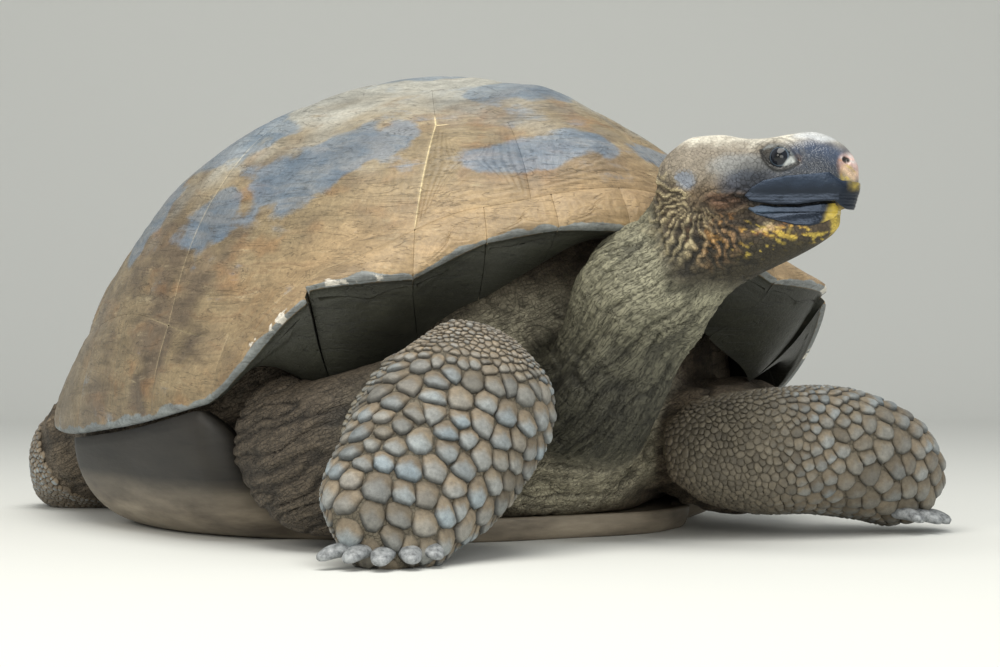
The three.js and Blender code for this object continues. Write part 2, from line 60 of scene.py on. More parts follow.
def rgba(colour):
    return (*linear(colour), 1.0)


class Paint:
    """A material as its nodes are joined. Where a value is asked for, a number, a colour or
    another node's socket will do."""

    def __init__(self, name):
        self.material = bpy.data.materials.new(name)
        self.material.use_nodes = True
        self.tree = self.material.node_tree
        self.tree.nodes.clear()
        self.shader = self.node("BsdfPrincipled")
        self.node("OutputMaterial", {0: self.shader.outputs[0]})
        self.place = self.node("TexCoord").outputs["Object"]

    def feed(self, socket, value):
        if isinstance(value, bpy.types.NodeSocket):
            self.tree.links.new(value, socket)
        else:
            socket.default_value = value

    def node(self, kind, inputs=None, **settings):
        """Adds a shader node. settings are its properties, inputs its sockets' values."""
        node = self.tree.nodes.new("ShaderNode" + kind)
        for name, value in settings.items():
            setattr(node, name, value)
        for socket, value in (inputs or {}).items():
            self.feed(node.inputs[socket], value)
        return node

    def attribute(self, name, output="Vector"):
        """What the mesh stores at its points under a name."""
        return self.node("Attribute", attribute_name=name).outputs[output]

    def split(self, vector):
        return self.node("SeparateXYZ", {0: vector}).outputs[:]

    def stretched(self, *scale):
        """The object's own space, scaled along each axis."""
        return self.node("Mapping", {"Vector": self.place, "Scale": scale}).outputs[0]

    def fractal(self, scale, detail=2.0, roughness=0.5, vector=None, distortion=0.0):
        """Noise of the object's own space, or of another vector."""
        return self.node("TexNoise", {
            "Vector": vector or self.place, "Scale": scale, "Detail": detail,
            "Roughness": roughness, "Distortion": distortion}).outputs[0]

    def wandering(self, *noise):
        """0 on the thin wandering lines where a fractal passes its middle value."""
        return self.sums("ABSOLUTE", self.sums("SUBTRACT", self.fractal(*noise), 0.5))

    def cells(self, scale, randomness=1.0):
        """The distance to the border of random cells."""
        return self.node("TexVoronoi", {"Vector": self.place, "Scale": scale, "Randomness": randomness},
                         feature="DISTANCE_TO_EDGE").outputs[0]

    def ranged(self, value, low=0.0, high=1.0, start=0.0, end=1.0, kind="LINEAR"):
        """A value taken from one range to another."""
        ends = {"From Min": low, "From Max": high, "To Min": start, "To Max": end}
        return self.node("MapRange", {"Value": value, **ends}, interpolation_type=kind).outputs[0]

    def eased(self, *values):
        """The same, slow at both ends of the range."""
        return self.ranged(*values, kind="SMOOTHSTEP")

    def sums(self, operation, *values):
        """One arithmetic node: the operation on up to three values."""
        return self.node("Math", dict(enumerate(values)), operation=operation).outputs[0]

    def product(self, first, *others):
        for value in others:
            first = self.sums("MULTIPLY", first, value)
        return first

    def laid_over(self, colour, code, share):
        """A colour covered by another, by a share."""
        return self.node("Mix", {0: share, 6: colour, 7: rgba(code)}, data_type="RGBA").outputs[2]

    def ramp(self, value, dark, light, low=0.0, high=1.0):
        """One colour up to a low value, another from a high value, and a blend between."""
        ramp = self.node("ValToRGB", {0: value})
        for element, code, position in zip(ramp.color_ramp.elements, (dark, light), (low, high)):
            element.color, element.position = rgba(code), position
        return ramp.outputs[0]

    def scaled(self, colour, factor):
        return self.node("VectorMath", {0: colour, "Scale": factor}, operation="SCALE").outputs[0]

    def bump(self, height, strength, distance, **over):
        """A relief of some metres' depth, over another's Normal if one is given."""
        inputs = {"Height": height, "Strength": strength, "Distance": distance, **over}
        return self.node("Bump", inputs).outputs[0]

    def finish(self, **inputs):
        """Feeds the surface's inputs, whose names have _ for spaces, and gives the material."""
        for name, value in inputs.items():
            self.feed(self.shader.inputs[name.replace("_", " ")], value)
        return self.material


def mesh_from(name, points, faces, attributes=None, smooth=True):
    """A mesh from points in mm and faces given as rows of point numbers, -1 where a row ends."""
    faces = np.asarray(faces)
    used = faces >= 0
    loops = faces[used].astype(np.int32)
    totals = used.sum(1).astype(np.int32)
    mesh = bpy.data.meshes.new(name)
    mesh.vertices.add(len(points))
    mesh.vertices.foreach_set("co", (np.asarray(points) * MM).astype(np.float32).ravel())
    mesh.loops.add(len(loops))
    mesh.loops.foreach_set("vertex_index", loops)
    mesh.polygons.add(len(totals))
    starts = np.concatenate(([0], np.cumsum(totals)[:-1])).astype(np.int32)
    mesh.polygons.foreach_set("loop_start", starts)
    mesh.polygons.foreach_set("loop_total", totals)
    mesh.polygons.foreach_set("use_smooth", np.full(len(totals), smooth))
    mesh.update(calc_edges=True)
    for key, values in (attributes or {}).items():
        kinds = {1: ("FLOAT", "value"), 3: ("FLOAT_VECTOR", "vector")}
        kind, field = kinds[values.shape[1] if values.ndim > 1 else 1]
        attribute = mesh.attributes.new(key, kind, "POINT")
        attribute.data.foreach_set(field, values.astype(np.float32).ravel())
    return mesh


def piece(name, mesh, material, replaces=()):
    """Puts a mesh into the scene as a part of the model, riding on its one body."""
    thing = bpy.data.objects.new(name, mesh)
    bpy.context.scene.collection.objects.link(thing)
    mesh.materials.append(material)
    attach(thing, "root")
    if replaces:
        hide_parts(*replaces)
    return thing


# %% Grids, rings and blends
def smooth(x, low=0.0, high=1.0):
    """0 below low, 1 above high, and 3t^2 - 2t^3 between."""
    t = np.clip((np.asarray(x, float) - low) / (high - low), 0, 1)
    return t * t * (3 - 2 * t)


def mix(a, b, t):
    return a + (b - a) * t


def covered(tint, colour, share):
    """Each point's tint with a colour laid over it, by a share for each point."""
    return mix(tint, colour, share[..., None])


def hump(distance, width):
    """A bell: 1 at no distance and 0.37 one width away."""
    return np.exp(-((distance / width) ** 2))


def unit(v):
    return v / np.maximum(np.linalg.norm(v, axis=-1, keepdims=True), 1e-9)


def band_faces(rings, around, first=0):
    """Quads between successive rings of a tube whose points are numbered ring by ring."""
    ring, k = np.meshgrid(np.arange(rings - 1), np.arange(around), indexing="ij")
    a, b = first + ring * around + k, first + ring * around + (k + 1) % around
    return np.stack([a, b, b + around, a + around], -1).reshape(-1, 4)


def cap_faces(ring, centre, turned):
    """Triangles from a ring of point numbers to one closing point, padded to four columns."""
    after = np.roll(ring, -1)
    order = (ring, after) if turned else (after, ring)
    ones = np.ones_like(ring)
    return np.stack([order[0], order[1], ones * centre, -ones], -1)


def closed_tube(rings):
    """Points and faces of rings (count, around, 3), closed at each end by the ring's middle."""
    count, around = rings.shape[:2]
    points = np.vstack([rings.reshape(-1, 3), rings[0].mean(0), rings[-1].mean(0)])
    first, last = np.arange(around), np.arange(around) + (count - 1) * around
    faces = np.vstack([
        band_faces(count, around),
        cap_faces(first, count * around, False),
        cap_faces(last, count * around + 1, True),
    ])
    return points, faces


def outward(points, faces):
    """The same faces, all turned round if the volume they enclose comes out negative."""
    a, b, c = (points[faces[:, i]] for i in range(3))
    volume = np.sum(a * np.cross(b, c))
    quads = faces[faces[:, 3] >= 0] if faces.shape[1] > 3 else faces[:0]
    if len(quads):
        a, b, c = (points[quads[:, i]] for i in (0, 2, 3))
        volume += np.sum(a * np.cross(b, c))
    if volume > 0:
        return faces
    turned = faces[:, ::-1].copy()
    return np.take_along_axis(turned, np.argsort(turned < 0, axis=1, kind="stable"), 1)


# %% Seeded noise
def lattice(cell, seed):
    """A fixed number from 0 to 1 for each whole-numbered cell, by mixing its numbers' bits."""
    x, y, z = (cell[..., i].astype(np.int64) for i in range(3))
    h = (x * 73856093) ^ (y * 19349663) ^ (z * 83492791) ^ (seed * 2654435761)
    h &= 0xFFFFFFFF
    h = ((h ^ (h >> 13)) * 1274126177) & 0xFFFFFFFF
    return (h ^ (h >> 16)) / 0xFFFFFFFF


def noise(points, size, seed=0):
    """Smooth lumps of one size in mm, from -1 to 1: random values on a cubic lattice, blended."""
    p = points / size
    cell = np.floor(p).astype(np.int64)
    f = smooth(p - cell)
    total = 0
    for corner in np.ndindex(2, 2, 2):
        share = np.prod(np.where(corner, f, 1 - f), -1)
        total = total + share * lattice(cell + corner, seed)
    return 2 * total - 1


# %% [markdown]
# ## Stage, lights and camera
# A museum model stands on a plain floor under large soft lamps. The floor sweeps up behind into
# a backdrop, so that no horizon line crosses the picture.

# %% Floor and backdrop
def sweep_floor():
    """A profile of flat floor, a quarter turn of 1.5 m radius and a wall, carried sideways."""
    radius, reach = 1500.0, 3500.0
    turn = np.linspace(0, np.pi / 2, 24)
    flat = np.concatenate(([-6000.0], np.linspace(-2000, reach, 12)))
    along = np.concatenate((flat, reach + radius * np.sin(turn[1:]), [reach + radius]))
    height = np.concatenate((0 * flat, radius * (1 - np.cos(turn[1:])), [6000.0]))
    across = np.linspace(-9000, 9000, 19)
    heading = np.radians(-32)
    ahead = np.array([-np.sin(heading), np.cos(heading), 0])
    side = np.array([np.cos(heading), np.sin(heading), 0])
    points = along[:, None, None] * ahead + across[:, None] * side + height[:, None, None] * [0, 0, 1]
    n, m = len(along), len(across)
    i, j = np.meshgrid(np.arange(n - 1), np.arange(m - 1), indexing="ij")
    a = i * m + j
    faces = np.stack([a, a + 1, a + m + 1, a + m], -1).reshape(-1, 4)
    return mesh_from("studio_floor", points.reshape(-1, 3), faces)


m = Paint("matt_studio_paint")
grain = m.node("TexNoise", {"Scale": 2.0, "Detail": 3.0}).outputs[0]
floor_paint = m.finish(Base_Color=m.ramp(grain, 0xDCDDD9, 0xE3E4E0), Roughness=0.85)
floor = bpy.data.objects.new("studio_floor", sweep_floor())
bpy.context.scene.collection.objects.link(floor)
floor.data.materials.append(floor_paint)


# %% Lamps and camera
def soft_lamp(name, place, aim, size, power, colour):
    lamp = bpy.data.lights.new(name, "AREA")
    lamp.shape, lamp.size, lamp.energy = "DISK", size, power
    lamp.color = linear(colour)
    holder = bpy.data.objects.new(name, lamp)
    holder.location = place
    holder.rotation_euler = (Vector(aim) - Vector(place)).to_track_quat("-Z", "Y").to_euler()
    bpy.context.scene.collection.objects.link(holder)


soft_lamp("overhead_softbox", (-0.6, -0.9, 3.0), (0, -0.1, 0.2), 2.6, 80, 0xFFFDF6)
soft_lamp("front_left_softbox", (-3.2, -1.6, 1.9), (0, -0.2, 0.25), 1.8, 30, 0xFFF8EC)
soft_lamp("front_right_softbox", (1.6, -3.2, 1.6), (0, -0.3, 0.25), 1.6, 7, 0xF4F8FF)
soft_lamp("low_front_fill", (-1.6, -3.6, 0.7), (0, -0.3, 0.25), 2.2, 42, 0xFBFAF4)

world = bpy.data.worlds.new("studio_air")
world.use_nodes = True
sky = world.node_tree.nodes["Background"]
sky.inputs[0].default_value = rgba(0xEDEFEF)
sky.inputs[1].default_value = 0.55
bpy.context.scene.world = world
bpy.context.scene.view_settings.view_transform = "Standard"

lens = bpy.data.cameras.new("camera")
lens.lens, lens.sensor_width = 90, 36
camera = bpy.data.objects.new("camera", lens)
camera.location = (-1.659, -2.855, 0.25)
camera.rotation_euler = np.radians((89.92, 0, -32))
bpy.context.scene.collection.objects.link(camera)
bpy.context.scene.camera = camera

# %% [markdown]
# ## The shell's surface
# A carapace is a domed box of bone under horny plates. Its surface is laid out on a disk: the
# apex is the middle and the rim is the edge, so a plate is a polygon on the disk. The same
# surface carries the solid plates, so the numbers here repeat theirs.

# %% The dome
SHELL = dict(apex_z=569, apex_y=-80, front=473, rear=574, half_width=431, thickness=13)
RIM_ANGLES = [0, 22, 42, 62, 90, 120, 150, 180]
RIM_HEIGHT = [365, 342, 285, 165, 130, 115, 120, 100]
RIM_FULLNESS = [1.96, 1.7, 1.75, 1.94, 2.14, 1.9, 1.85, 1.9]
RIM_FLARE = [12, 10, 85, 37, 2, 12, 40, 35]
RIM_RING = [0.835, 0.83, 0.895, 0.87, 0.81, 0.8, 0.82, 0.835]
RIM_HANG = [50, 100, 125, 0, 0, 0, 0, 0]
FLARE_FROM, HANG_LEAN = 0.78, 0.35


def rim_value(table, phi):
    """A table's value at any angle from the front: cubic Hermite pieces whose slopes are the
    harmonic mean of the steps on each side, or none at a turning point."""
    table, angles = np.array(table, float), np.radians(RIM_ANGLES)
    steps = np.diff(np.concatenate(([table[1]], table, [table[-2]])))
    before, after = steps[:-1], steps[1:]
    safe = np.where(before * after > 0, before + after, 1)
    slope = np.where(before * after > 0, 2 * before * after / safe, 0)
    a = np.abs(np.arctan2(np.sin(phi), np.cos(phi)))
    i = np.clip(np.searchsorted(angles, a, side="right") - 1, 0, len(table) - 2)
    t = (a - angles[i]) / (angles[i + 1] - angles[i])
    h = t * t * (3 - 2 * t)
    bend = slope[i] * (t**3 - 2 * t * t + t) + slope[i + 1] * (t**3 - t * t)
    return table[i] * (1 - h) + table[i + 1] * h + bend


def dome(rho, phi):
    """x and y reach outwards by sin(t)^(2/fullness) and z rises by cos(t)^(2/fullness), for
    t = a quarter turn times rho; near the rim a smooth step of the flare is added to the reach."""
    s, c = np.sin(phi), np.cos(phi)
    length = np.where(c > 0, SHELL["front"], SHELL["rear"])
    reach = 1 / np.hypot(s / SHELL["half_width"], c / length)
    power = 2 / rim_value(RIM_FULLNESS, phi)
    t = rho * np.pi / 2
    out = np.maximum(np.sin(t), 0) ** power
    rise = np.maximum(np.cos(t), 0) ** power
    r = reach * out + rim_value(RIM_FLARE, phi) * smooth(rho, FLARE_FROM, 1)
    y = SHELL["apex_y"] * (1 - out) - r * c
    z = mix(rim_value(RIM_HEIGHT, phi), SHELL["apex_z"], rise)
    return np.stack([r * s, y, z], -1)


def dome_at(p, q):
    """The dome at a place on the disk; past the rim it runs straight on."""
    rho, phi = np.hypot(p, q), np.arctan2(p, -q)
    inner, rim = dome(np.full_like(rho, 0.98), phi), dome(np.ones_like(rho), phi)
    beyond = rim + (rim - inner) * ((rho - 1) / 0.02)[..., None]
    return np.where((rho > 1)[..., None], beyond, dome(np.minimum(rho, 1), phi))


def dome_normal(p, q):
    """Halfway between the true normal and that of a plain ellipsoid, to turn evenly at flares."""
    step = 0.02
    k = np.where(np.hypot(p, q) > 1 - step, 1 - step, 1)
    dp = dome_at(p * k + step, q * k) - dome_at(p * k - step, q * k)
    dq = dome_at(p * k, q * k + step) - dome_at(p * k, q * k - step)
    here = dome_at(p, q)
    middle_z, half_length = 60, (SHELL["front"] + SHELL["rear"]) / 2
    sizes = np.square([SHELL["half_width"], half_length, SHELL["apex_z"] - middle_z])
    plain = unit((here - [0, 0, middle_z]) / sizes)
    return unit(unit(np.cross(dp, dq)) + plain)


def hang(p, q):
    """The flared plates' underside hangs down and leans in, from nothing at the rim's edge to
    the table's drop where the marginals begin."""
    phi = np.arctan2(p, -q)
    share = np.clip((1 - np.hypot(p, q)) / (1 - rim_value(RIM_RING, phi)), 0, 1)
    drop = rim_value(RIM_HANG, phi) * share
    lean = np.stack([-np.sin(phi) * HANG_LEAN, np.cos(phi) * HANG_LEAN, -np.ones_like(phi)], -1)
    return lean * drop[..., None]


def lip_wave(p, q, name):
    """Marginals one to four ride up and down along the front rim, and the fourth ends in a raised
    corner over the fifth; the rise fades to nothing at the marginals' inner ring."""
    phi = np.arctan2(p, -q)
    angles, rise = [44, 52], [7, 0]
    if name[:-1] == "marginal_" and name[-1] in "1234":
        angles, rise = [0, 12, 21, 31, 37, 44], [0, 9, 8, -12, 3, 20]
    wave = np.interp(np.degrees(np.abs(phi)), angles, rise)
    return wave * smooth(np.hypot(p, q), rim_value(RIM_RING, phi), 1)


# %% [markdown]
# ## Seams and plates
# Thirty-six plates cover the dome: five along the spine, four costals on each side, eleven
# marginals on each side and one over the tail. Each is a grid of rings that shrink towards its
# middle, closed underneath, with rounded edges, so neighbours meet in a fine groove.

# %% Seams on the disk
CORNER = dict(v12=(0.12, -0.495), c12=(0.235, -0.42), v23=(0.135, -0.19), c23=(0.255, 0.02),
              v34=(0.135, 0.22), c34=(0.24, 0.42), v45=(0.11, 0.58))
FOOT = dict(v1=14, c12=31, c23=76, c34=118, v5=162)
PALE_SEAM = [(0.25, -0.27), (0.235, -0.42), (0.43, -0.71)]  # runs of seam on the disk, grown pale
MARGINAL_SEAMS = [0, 11, 21, 31, 44, 60, 76, 92, 108, 126, 145, 168]


def seam(*stops):
    """Straight seams on the disk through the stops, forty points to each, without the last."""
    t = np.linspace(0, 1, 40, endpoint=False)[:, None]
    return np.vstack([mix(np.array(a), np.array(b), t) for a, b in zip(stops, stops[1:])])


def arc(start, end, on_rim=False):
    """Points round the disk between two angles in degrees, on the rim or the marginal ring."""
    a = np.radians(np.linspace(start, end, max(8, int(abs(end - start) * 3)), endpoint=False))
    r = np.ones_like(a) if on_rim else rim_value(RIM_RING, a)
    return np.stack([np.sin(a) * r, -np.cos(a) * r], -1)


def on_ring(degrees):
    return tuple(arc(degrees, degrees + 1)[0])


def other(corner):
    return (-corner[0], corner[1])


def plate_outlines():
    C, F = CORNER, FOOT
    outlines = {
        "vertebral_1": np.vstack([
            arc(-F["v1"], F["v1"]), seam(on_ring(F["v1"]), C["v12"], other(C["v12"]), on_ring(-F["v1"]))]),
        "vertebral_5": np.vstack([
            seam(other(C["v45"]), C["v45"], on_ring(F["v5"])), arc(F["v5"], 360 - F["v5"]),
            seam(on_ring(-F["v5"]), other(C["v45"]))]),
    }
    for name, (a, b, c) in {"vertebral_2": ("v12", "c12", "v23"), "vertebral_3": ("v23", "c23", "v34"),
                            "vertebral_4": ("v34", "c34", "v45")}.items():
        a, b, c = C[a], C[b], C[c]
        outlines[name] = seam(other(a), a, b, c, other(c), other(b), other(a))
    costals = [("v1", "c12", ["c12", "v12"]), ("c12", "c23", ["c23", "v23", "c12"]),
               ("c23", "c34", ["c34", "v34", "c23"]), ("c34", "v5", ["v45", "c34"])]
    for i, (start, end, corners) in enumerate(costals, 1):
        start, end = F[start], F[end]
        side = seam(on_ring(end), *[C[c] for c in corners], on_ring(start))
        outlines[f"costal_{i}"] = np.vstack([arc(start, end), side])
    for i, (start, end) in enumerate(zip(MARGINAL_SEAMS, MARGINAL_SEAMS[1:]), 1):
        outlines[f"marginal_{i}"] = np.vstack([
            arc(start, end, True), seam(tuple(arc(end, end + 1, True)[0]), on_ring(end)),
            arc(end, start), seam(on_ring(start), tuple(arc(start, start + 1, True)[0]))])
    end = MARGINAL_SEAMS[-1]
    outlines["supracaudal"] = np.vstack([
        arc(end, 360 - end, True), seam(tuple(arc(-end, 1 - end, True)[0]), on_ring(-end)),
        arc(360 - end, end), seam(on_ring(end), tuple(arc(end, end + 1, True)[0]))])
    return outlines


def evened(outline, count):
    """The same closed outline with its points spread evenly by their distance on the dome."""
    loop = np.vstack([outline, outline[:1]])
    gaps = np.linalg.norm(np.diff(dome_at(*loop.T), axis=0), axis=1)
    walked = np.concatenate(([0], np.cumsum(gaps)))
    stops = np.linspace(0, walked[-1], count, endpoint=False)
    return np.stack([np.interp(stops, walked, loop[:, i]) for i in (0, 1)], -1), walked[-1]


# %% The shell's markings
# Worn horn: ochre and umber with a grey crown, blue-grey where each plate's oldest middle has
# been polished, tan towards the front rim and dull purple-brown at the rear.
# under is painted shade: the hollow under the flared rim, and the groove at each plate's edge, are
# coloured near-black olive.
HORN = {name: linear(code) for name, code in dict(
    ochre=0x8A7A5E, umber=0x645747, crown=0xA6A69E, tan=0xA08866, rear=0x857A69,
    rust=0x8C6640, under=0x2C2D25).items()}
POLISHED = [  # middles of the polished patches on the disk: p, q, radius across, radius down
    (-0.44, -0.31, 0.17, 0.12), (-0.40, 0.02, 0.15, 0.12), (-0.60, 0.12, 0.14, 0.10),
    (-0.60, -0.16, 0.10, 0.08), (-0.11, -0.65, 0.19, 0.08), (0.22, -0.62, 0.16, 0.07),
    (0.45, -0.28, 0.16, 0.12), (0.45, 0.12, 0.18, 0.14), (-0.42, 0.45, 0.15, 0.13),
    (0.42, 0.46, 0.15, 0.13), (0.0, -0.33, 0.13, 0.10), (0.0, 0.02, 0.15, 0.12),
    (0.0, 0.40, 0.14, 0.12), (0.0, 0.74, 0.12, 0.07),
]


def horn_tint(p, q):
    """The plate's ground colour, and how much its horn is polished blue-grey, by smooth patches
    on the disk and noise."""
    here = dome_at(p, q)
    rho, phi = np.hypot(p, q), np.abs(np.arctan2(p, -q))
    wobble = 0.06 * noise(here, 60, 3) + 0.03 * noise(here, 22, 4)
    patchy = noise(here, 85, 5) + 0.6 * noise(here, 34, 6) + 0.35 * noise(here * [1, 1, 2.5], 15, 7)
    tint = covered(HORN["ochre"], HORN["umber"], smooth(patchy, -0.4, 0.9))
    rusty = smooth(noise(here * [1, 1, 2], 46, 8) + 0.5 * noise(here, 12, 9), 0.15, 0.9)
    tint = covered(tint, HORN["rust"], rusty * smooth(rho, 0.3, 0.5) * 0.45)
    tint = covered(tint, HORN["rear"], smooth(phi, 1.3, 2.2) * smooth(rho, 0.55, 0.85) * 0.8)
    front = smooth(rho + wobble, 0.62, 0.86) * smooth(1.2 - phi, 0, 0.4)
    tint = covered(tint, HORN["tan"], front * 0.8)
    tint = covered(tint, HORN["crown"], smooth(0.62 - rho + 2.4 * wobble, 0, 0.4) * 0.9)
    polish = smooth(noise(here * [1, 1, 1.6], 58, 10) + 0.5 * noise(here, 19, 15), -0.2, 0.8)
    polish = 0.42 * polish * (1 - 0.5 * front)
    for cp, cq, across, down in POLISHED:
        turn = np.arctan2(cp, -cq)
        dr = (p - cp) * np.sin(turn) - (q - cq) * np.cos(turn)
        da = (p - cp) * np.cos(turn) + (q - cq) * np.sin(turn)
        far = np.hypot(da / across, dr / down) + 4 * wobble + 0.25 * noise(here, 24, 16)
        polish = np.maximum(polish, 1 - smooth(far, 0.5, 1.25))
    return tint, polish


def horn_wear(p, q, from_edge, at_rim):
    """Three shares: rubbed pale at the rim's edge, a seam filled with pale new horn, and chips
    near the flared rim where the outer horn has broken away."""
    here = dome_at(p, q)
    rho, phi = np.hypot(p, q), np.abs(np.arctan2(p, -q))
    edge = smooth(15 + 5 * noise(here, 18, 22) - from_edge, 0, 14) * at_rim
    best = np.full(p.shape, 9.0)
    for a, b in zip(PALE_SEAM, PALE_SEAM[1:]):
        a, b = np.array(a), np.array(b)
        at = np.stack([np.abs(p), q], -1) - a
        t = np.clip(at @ (b - a) / np.sum((b - a) ** 2), 0, 1)
        best = np.minimum(best, np.linalg.norm(at - t[..., None] * (b - a), axis=-1))
    bright = np.where(p < 0, 1.0, 0.5) * (1 - smooth(best, 0.012, 0.03))
    faint = 0.25 * smooth(noise(here, 110, 20), 0.1, 0.5)
    faint = faint * (1 - smooth(rho, 0.9, 0.95)) * smooth(2.2 - phi, 0, 0.5)
    filled = (1 - smooth(from_edge, 0.7, 1.3)) * np.maximum(bright, faint)
    chipped = smooth(noise(here, 24, 18) + 0.5 * noise(here, 8, 19), 0.2, 0.7)
    chipped *= smooth(rho, 0.95, 0.985) * hump(phi - 0.79, 0.22)
    return np.stack([edge, filled, chipped], -1)


# %% Plate meshes
def plate_mesh(name, outline):
    """Rings of the outline shrunk towards its middle, lifted along the dome's normal by a bulge
    of 1 - t^3 and faint growth ridges; the edge is a quarter circle above and below."""
    rim_plate = name.startswith(("marginal", "supra"))
    count, inner_rings = (112, 16) if rim_plate else (208, 46)
    bulge, seam_round, thickness = (3 if rim_plate else 5), 0.4, SHELL["thickness"]
    half_seam, fillet = 0.06, 0.7
    edge, length = evened(outline, count)
    centre = edge.mean(0)
    middle = dome_at(*centre)
    reach = np.linalg.norm(dome_at(*edge.T) - middle, axis=1)
    at_rim = smooth(np.hypot(*edge.T), 0.985, 1.0)
    rounding = mix(seam_round, 5.0, at_rim)
    quarter = np.radians([0, 25, 50, 75, 90])[:, None]
    inset = np.vstack([rounding + fillet, rounding * (1 - np.sin(quarter))])
    drop = np.vstack([0 * rounding, rounding * (1 - np.cos(quarter))])
    t_flat = np.linspace(0.03, 1, inner_rings)[:-1, None] * np.ones(count)
    t_flat = t_flat * (1 - (rounding + fillet + half_seam) / reach)
    t_edge = 1 - (inset + half_seam) / reach
    t_top = np.vstack([t_flat, t_edge])
    lift = bulge * (1 - t_top**3) + (0 if rim_plate else 4) * hump(t_top, 0.3)
    lift[inner_rings - 1:] -= drop
    p, q = (mix(centre[i], edge[:, i], t_top) for i in (0, 1))
    from_edge = (1 - t_top) * reach
    base, normal = dome_at(p, q), dome_normal(p, q)
    worn = smooth(from_edge, 2, 14)
    ridges = 0.45 * np.sin(2 * np.pi * from_edge / 11 + 1.5 * noise(base, 50, 11))
    ridges = ridges * smooth(from_edge, 90, 15)
    dents = 1.3 * noise(base, 55, 12) + 0.5 * noise(base * [1, 1, 2], 16, 13)
    lift = lift + worn * (ridges + dents) - 0.3 * (1 - smooth(from_edge, 0, 5)) * (1 - at_rim)
    up = np.array([0, 0, 1.0])
    top = base + normal * lift[..., None] + lip_wave(p, q, name)[..., None] * up
    t_inner = np.linspace(0.92, 0.08, 12)[:, None] * np.ones(count)
    t_under = np.vstack([t_edge[::-1] - 0.5 / reach, t_inner])
    drop_under = np.vstack([(thickness - drop)[::-1], np.full(t_inner.shape, thickness)])
    pu, qu = (mix(centre[i], edge[:, i], t_under) for i in (0, 1))
    under = dome_at(pu, qu) - dome_normal(pu, qu) * drop_under[..., None]
    if rim_plate:
        rough = 1.5 * noise(under, 40, 14) * smooth(drop_under, 9, 13)
        under += hang(pu, qu) + rough[..., None] * dome_normal(pu, qu)
        under += lip_wave(pu, qu, name)[..., None] * up
    points, faces = closed_tube(np.concatenate([top, under]))
    tint, polish = horn_tint(p, q)
    wear = horn_wear(p, q, from_edge, at_rim)
    # Painted shade: the groove along each plate's edge, except at the rim, and the whole underside take
    # the dark underside colour.
    tint[-1] = mix(HORN["under"], tint[-1], at_rim[:, None])
    wear[-1] *= at_rim[:, None]
    tint_under = np.broadcast_to(HORN["under"], under.shape)
    lip = np.clip(1 - drop_under / thickness, 0, 1) * at_rim
    wear_under = np.stack([0.6 * lip, 0 * lip, 0 * lip], -1)
    flat = lambda above, below, low: np.vstack([
        above.reshape(-1, 3), below.reshape(-1, 3), above[0].mean(0), low])
    around = np.linspace(0, length, count, endpoint=False)
    grain_top = np.stack([np.broadcast_to(around, p.shape), from_edge, polish], -1)
    grain_under = np.stack([np.broadcast_to(around, pu.shape), (1 - t_under) * reach, 0 * pu - 1], -1)
    attributes = {
        "tint": flat(tint, tint_under, HORN["under"]),
        "grain": flat(grain_top, grain_under, [0, reach.mean(), -1]),
        "wear": flat(wear, wear_under, [0, 0, 0])}
    return points, outward(points, faces), attributes


def build_plates(horn):
    total = 0
    for name, outline in plate_outlines().items():
        sides = [""] if name.startswith(("vertebral", "supra")) else ["_l", "_r"]
        for side in sides:
            points, faces, attributes = plate_mesh(name, outline * [-1, 1] if side == "_r" else outline)
            mesh = mesh_from(name + side, points, faces, attributes)
            piece(name + side + "_horn", mesh, horn, [name + side])
            total += len(faces)
    print("shell plates:", total, "faces")


# %% [markdown]
# ## Horn of the shell
# Keratin grown in yearly rings and worn by decades of weather. It shows fine level lines and
# scratches, blotches of dust, a blue-grey polish on the high middles, and pale horn where an edge
# is rubbed, broken or newly grown.

# %% Worn keratin
m = Paint("keratin_grown_in_rings_weather_worn")
polish = m.split(m.attribute("grain"))[2]
edge, filled, chipped = m.split(m.attribute("wear"))
level, scratch_run = m.stretched(9, 9, 42), m.stretched(7, 7, 60)
blotch, mottle = m.fractal(14.0, 10.0, 0.7), m.fractal(1.0, 10.0, 0.7, level, 0.7)
pale, speck = m.fractal(1.6, 10.0, 0.75, level), m.fractal(190.0, 4.0, 0.7)
scratched = m.eased(m.wandering(1.0, 3.0, 0.6, scratch_run, 1.5), 0.0, 0.014, 0.62, 1.0)
topside = m.eased(polish, -0.8, -0.2)
tone = m.product(
    m.eased(mottle, 0.32, 0.68, 0.74, 1.26), m.eased(speck, 0.3, 0.7, 0.84, 1.16),
    m.eased(blotch, 0.3, 0.7, 0.82, 1.18), scratched)
colour = m.attribute("tint")
colour = m.laid_over(colour, 0x5E4934, m.product(topside, m.eased(mottle, 0.54, 0.66, 0, 0.5)))
colour = m.laid_over(colour, 0xB4A688, m.product(topside, m.eased(pale, 0.56, 0.68, 0, 0.45)))
# Old horn polished blue-grey: the patch's share plus noise, cut to a ragged edge.
slated = m.eased(m.sums("MULTIPLY_ADD", m.sums("ADD", blotch, mottle), 1.5, polish), 1.82, 2.3)
colour = m.laid_over(colour, 0x66788A, m.product(slated, m.eased(mottle, 0.36, 0.6, 0.9, 0.6)))
rubbed = m.eased(m.sums("MULTIPLY_ADD", m.fractal(45.0, 8.0, 0.7), 1.6, edge), 1.2, 1.45)
colour = m.laid_over(colour, 0x7B868B, m.product(rubbed, 0.8))
colour = m.laid_over(colour, 0xDCCBA2, filled)
broken = m.eased(m.sums("MULTIPLY_ADD", m.fractal(60.0, 8.0, 0.75), 1.8, chipped), 1.35, 1.5)
colour = m.laid_over(colour, 0xE4DED2, m.product(broken, 0.9))
relief = m.sums("ADD", m.sums("MULTIPLY_ADD", scratched, 1.2, mottle), speck)
horn = m.finish(
    Base_Color=m.scaled(colour, tone), Roughness=m.eased(slated, 0, 1, 0.5, 0.38),
    Normal=m.bump(relief, 0.6, 0.0016))

build_plates(horn)

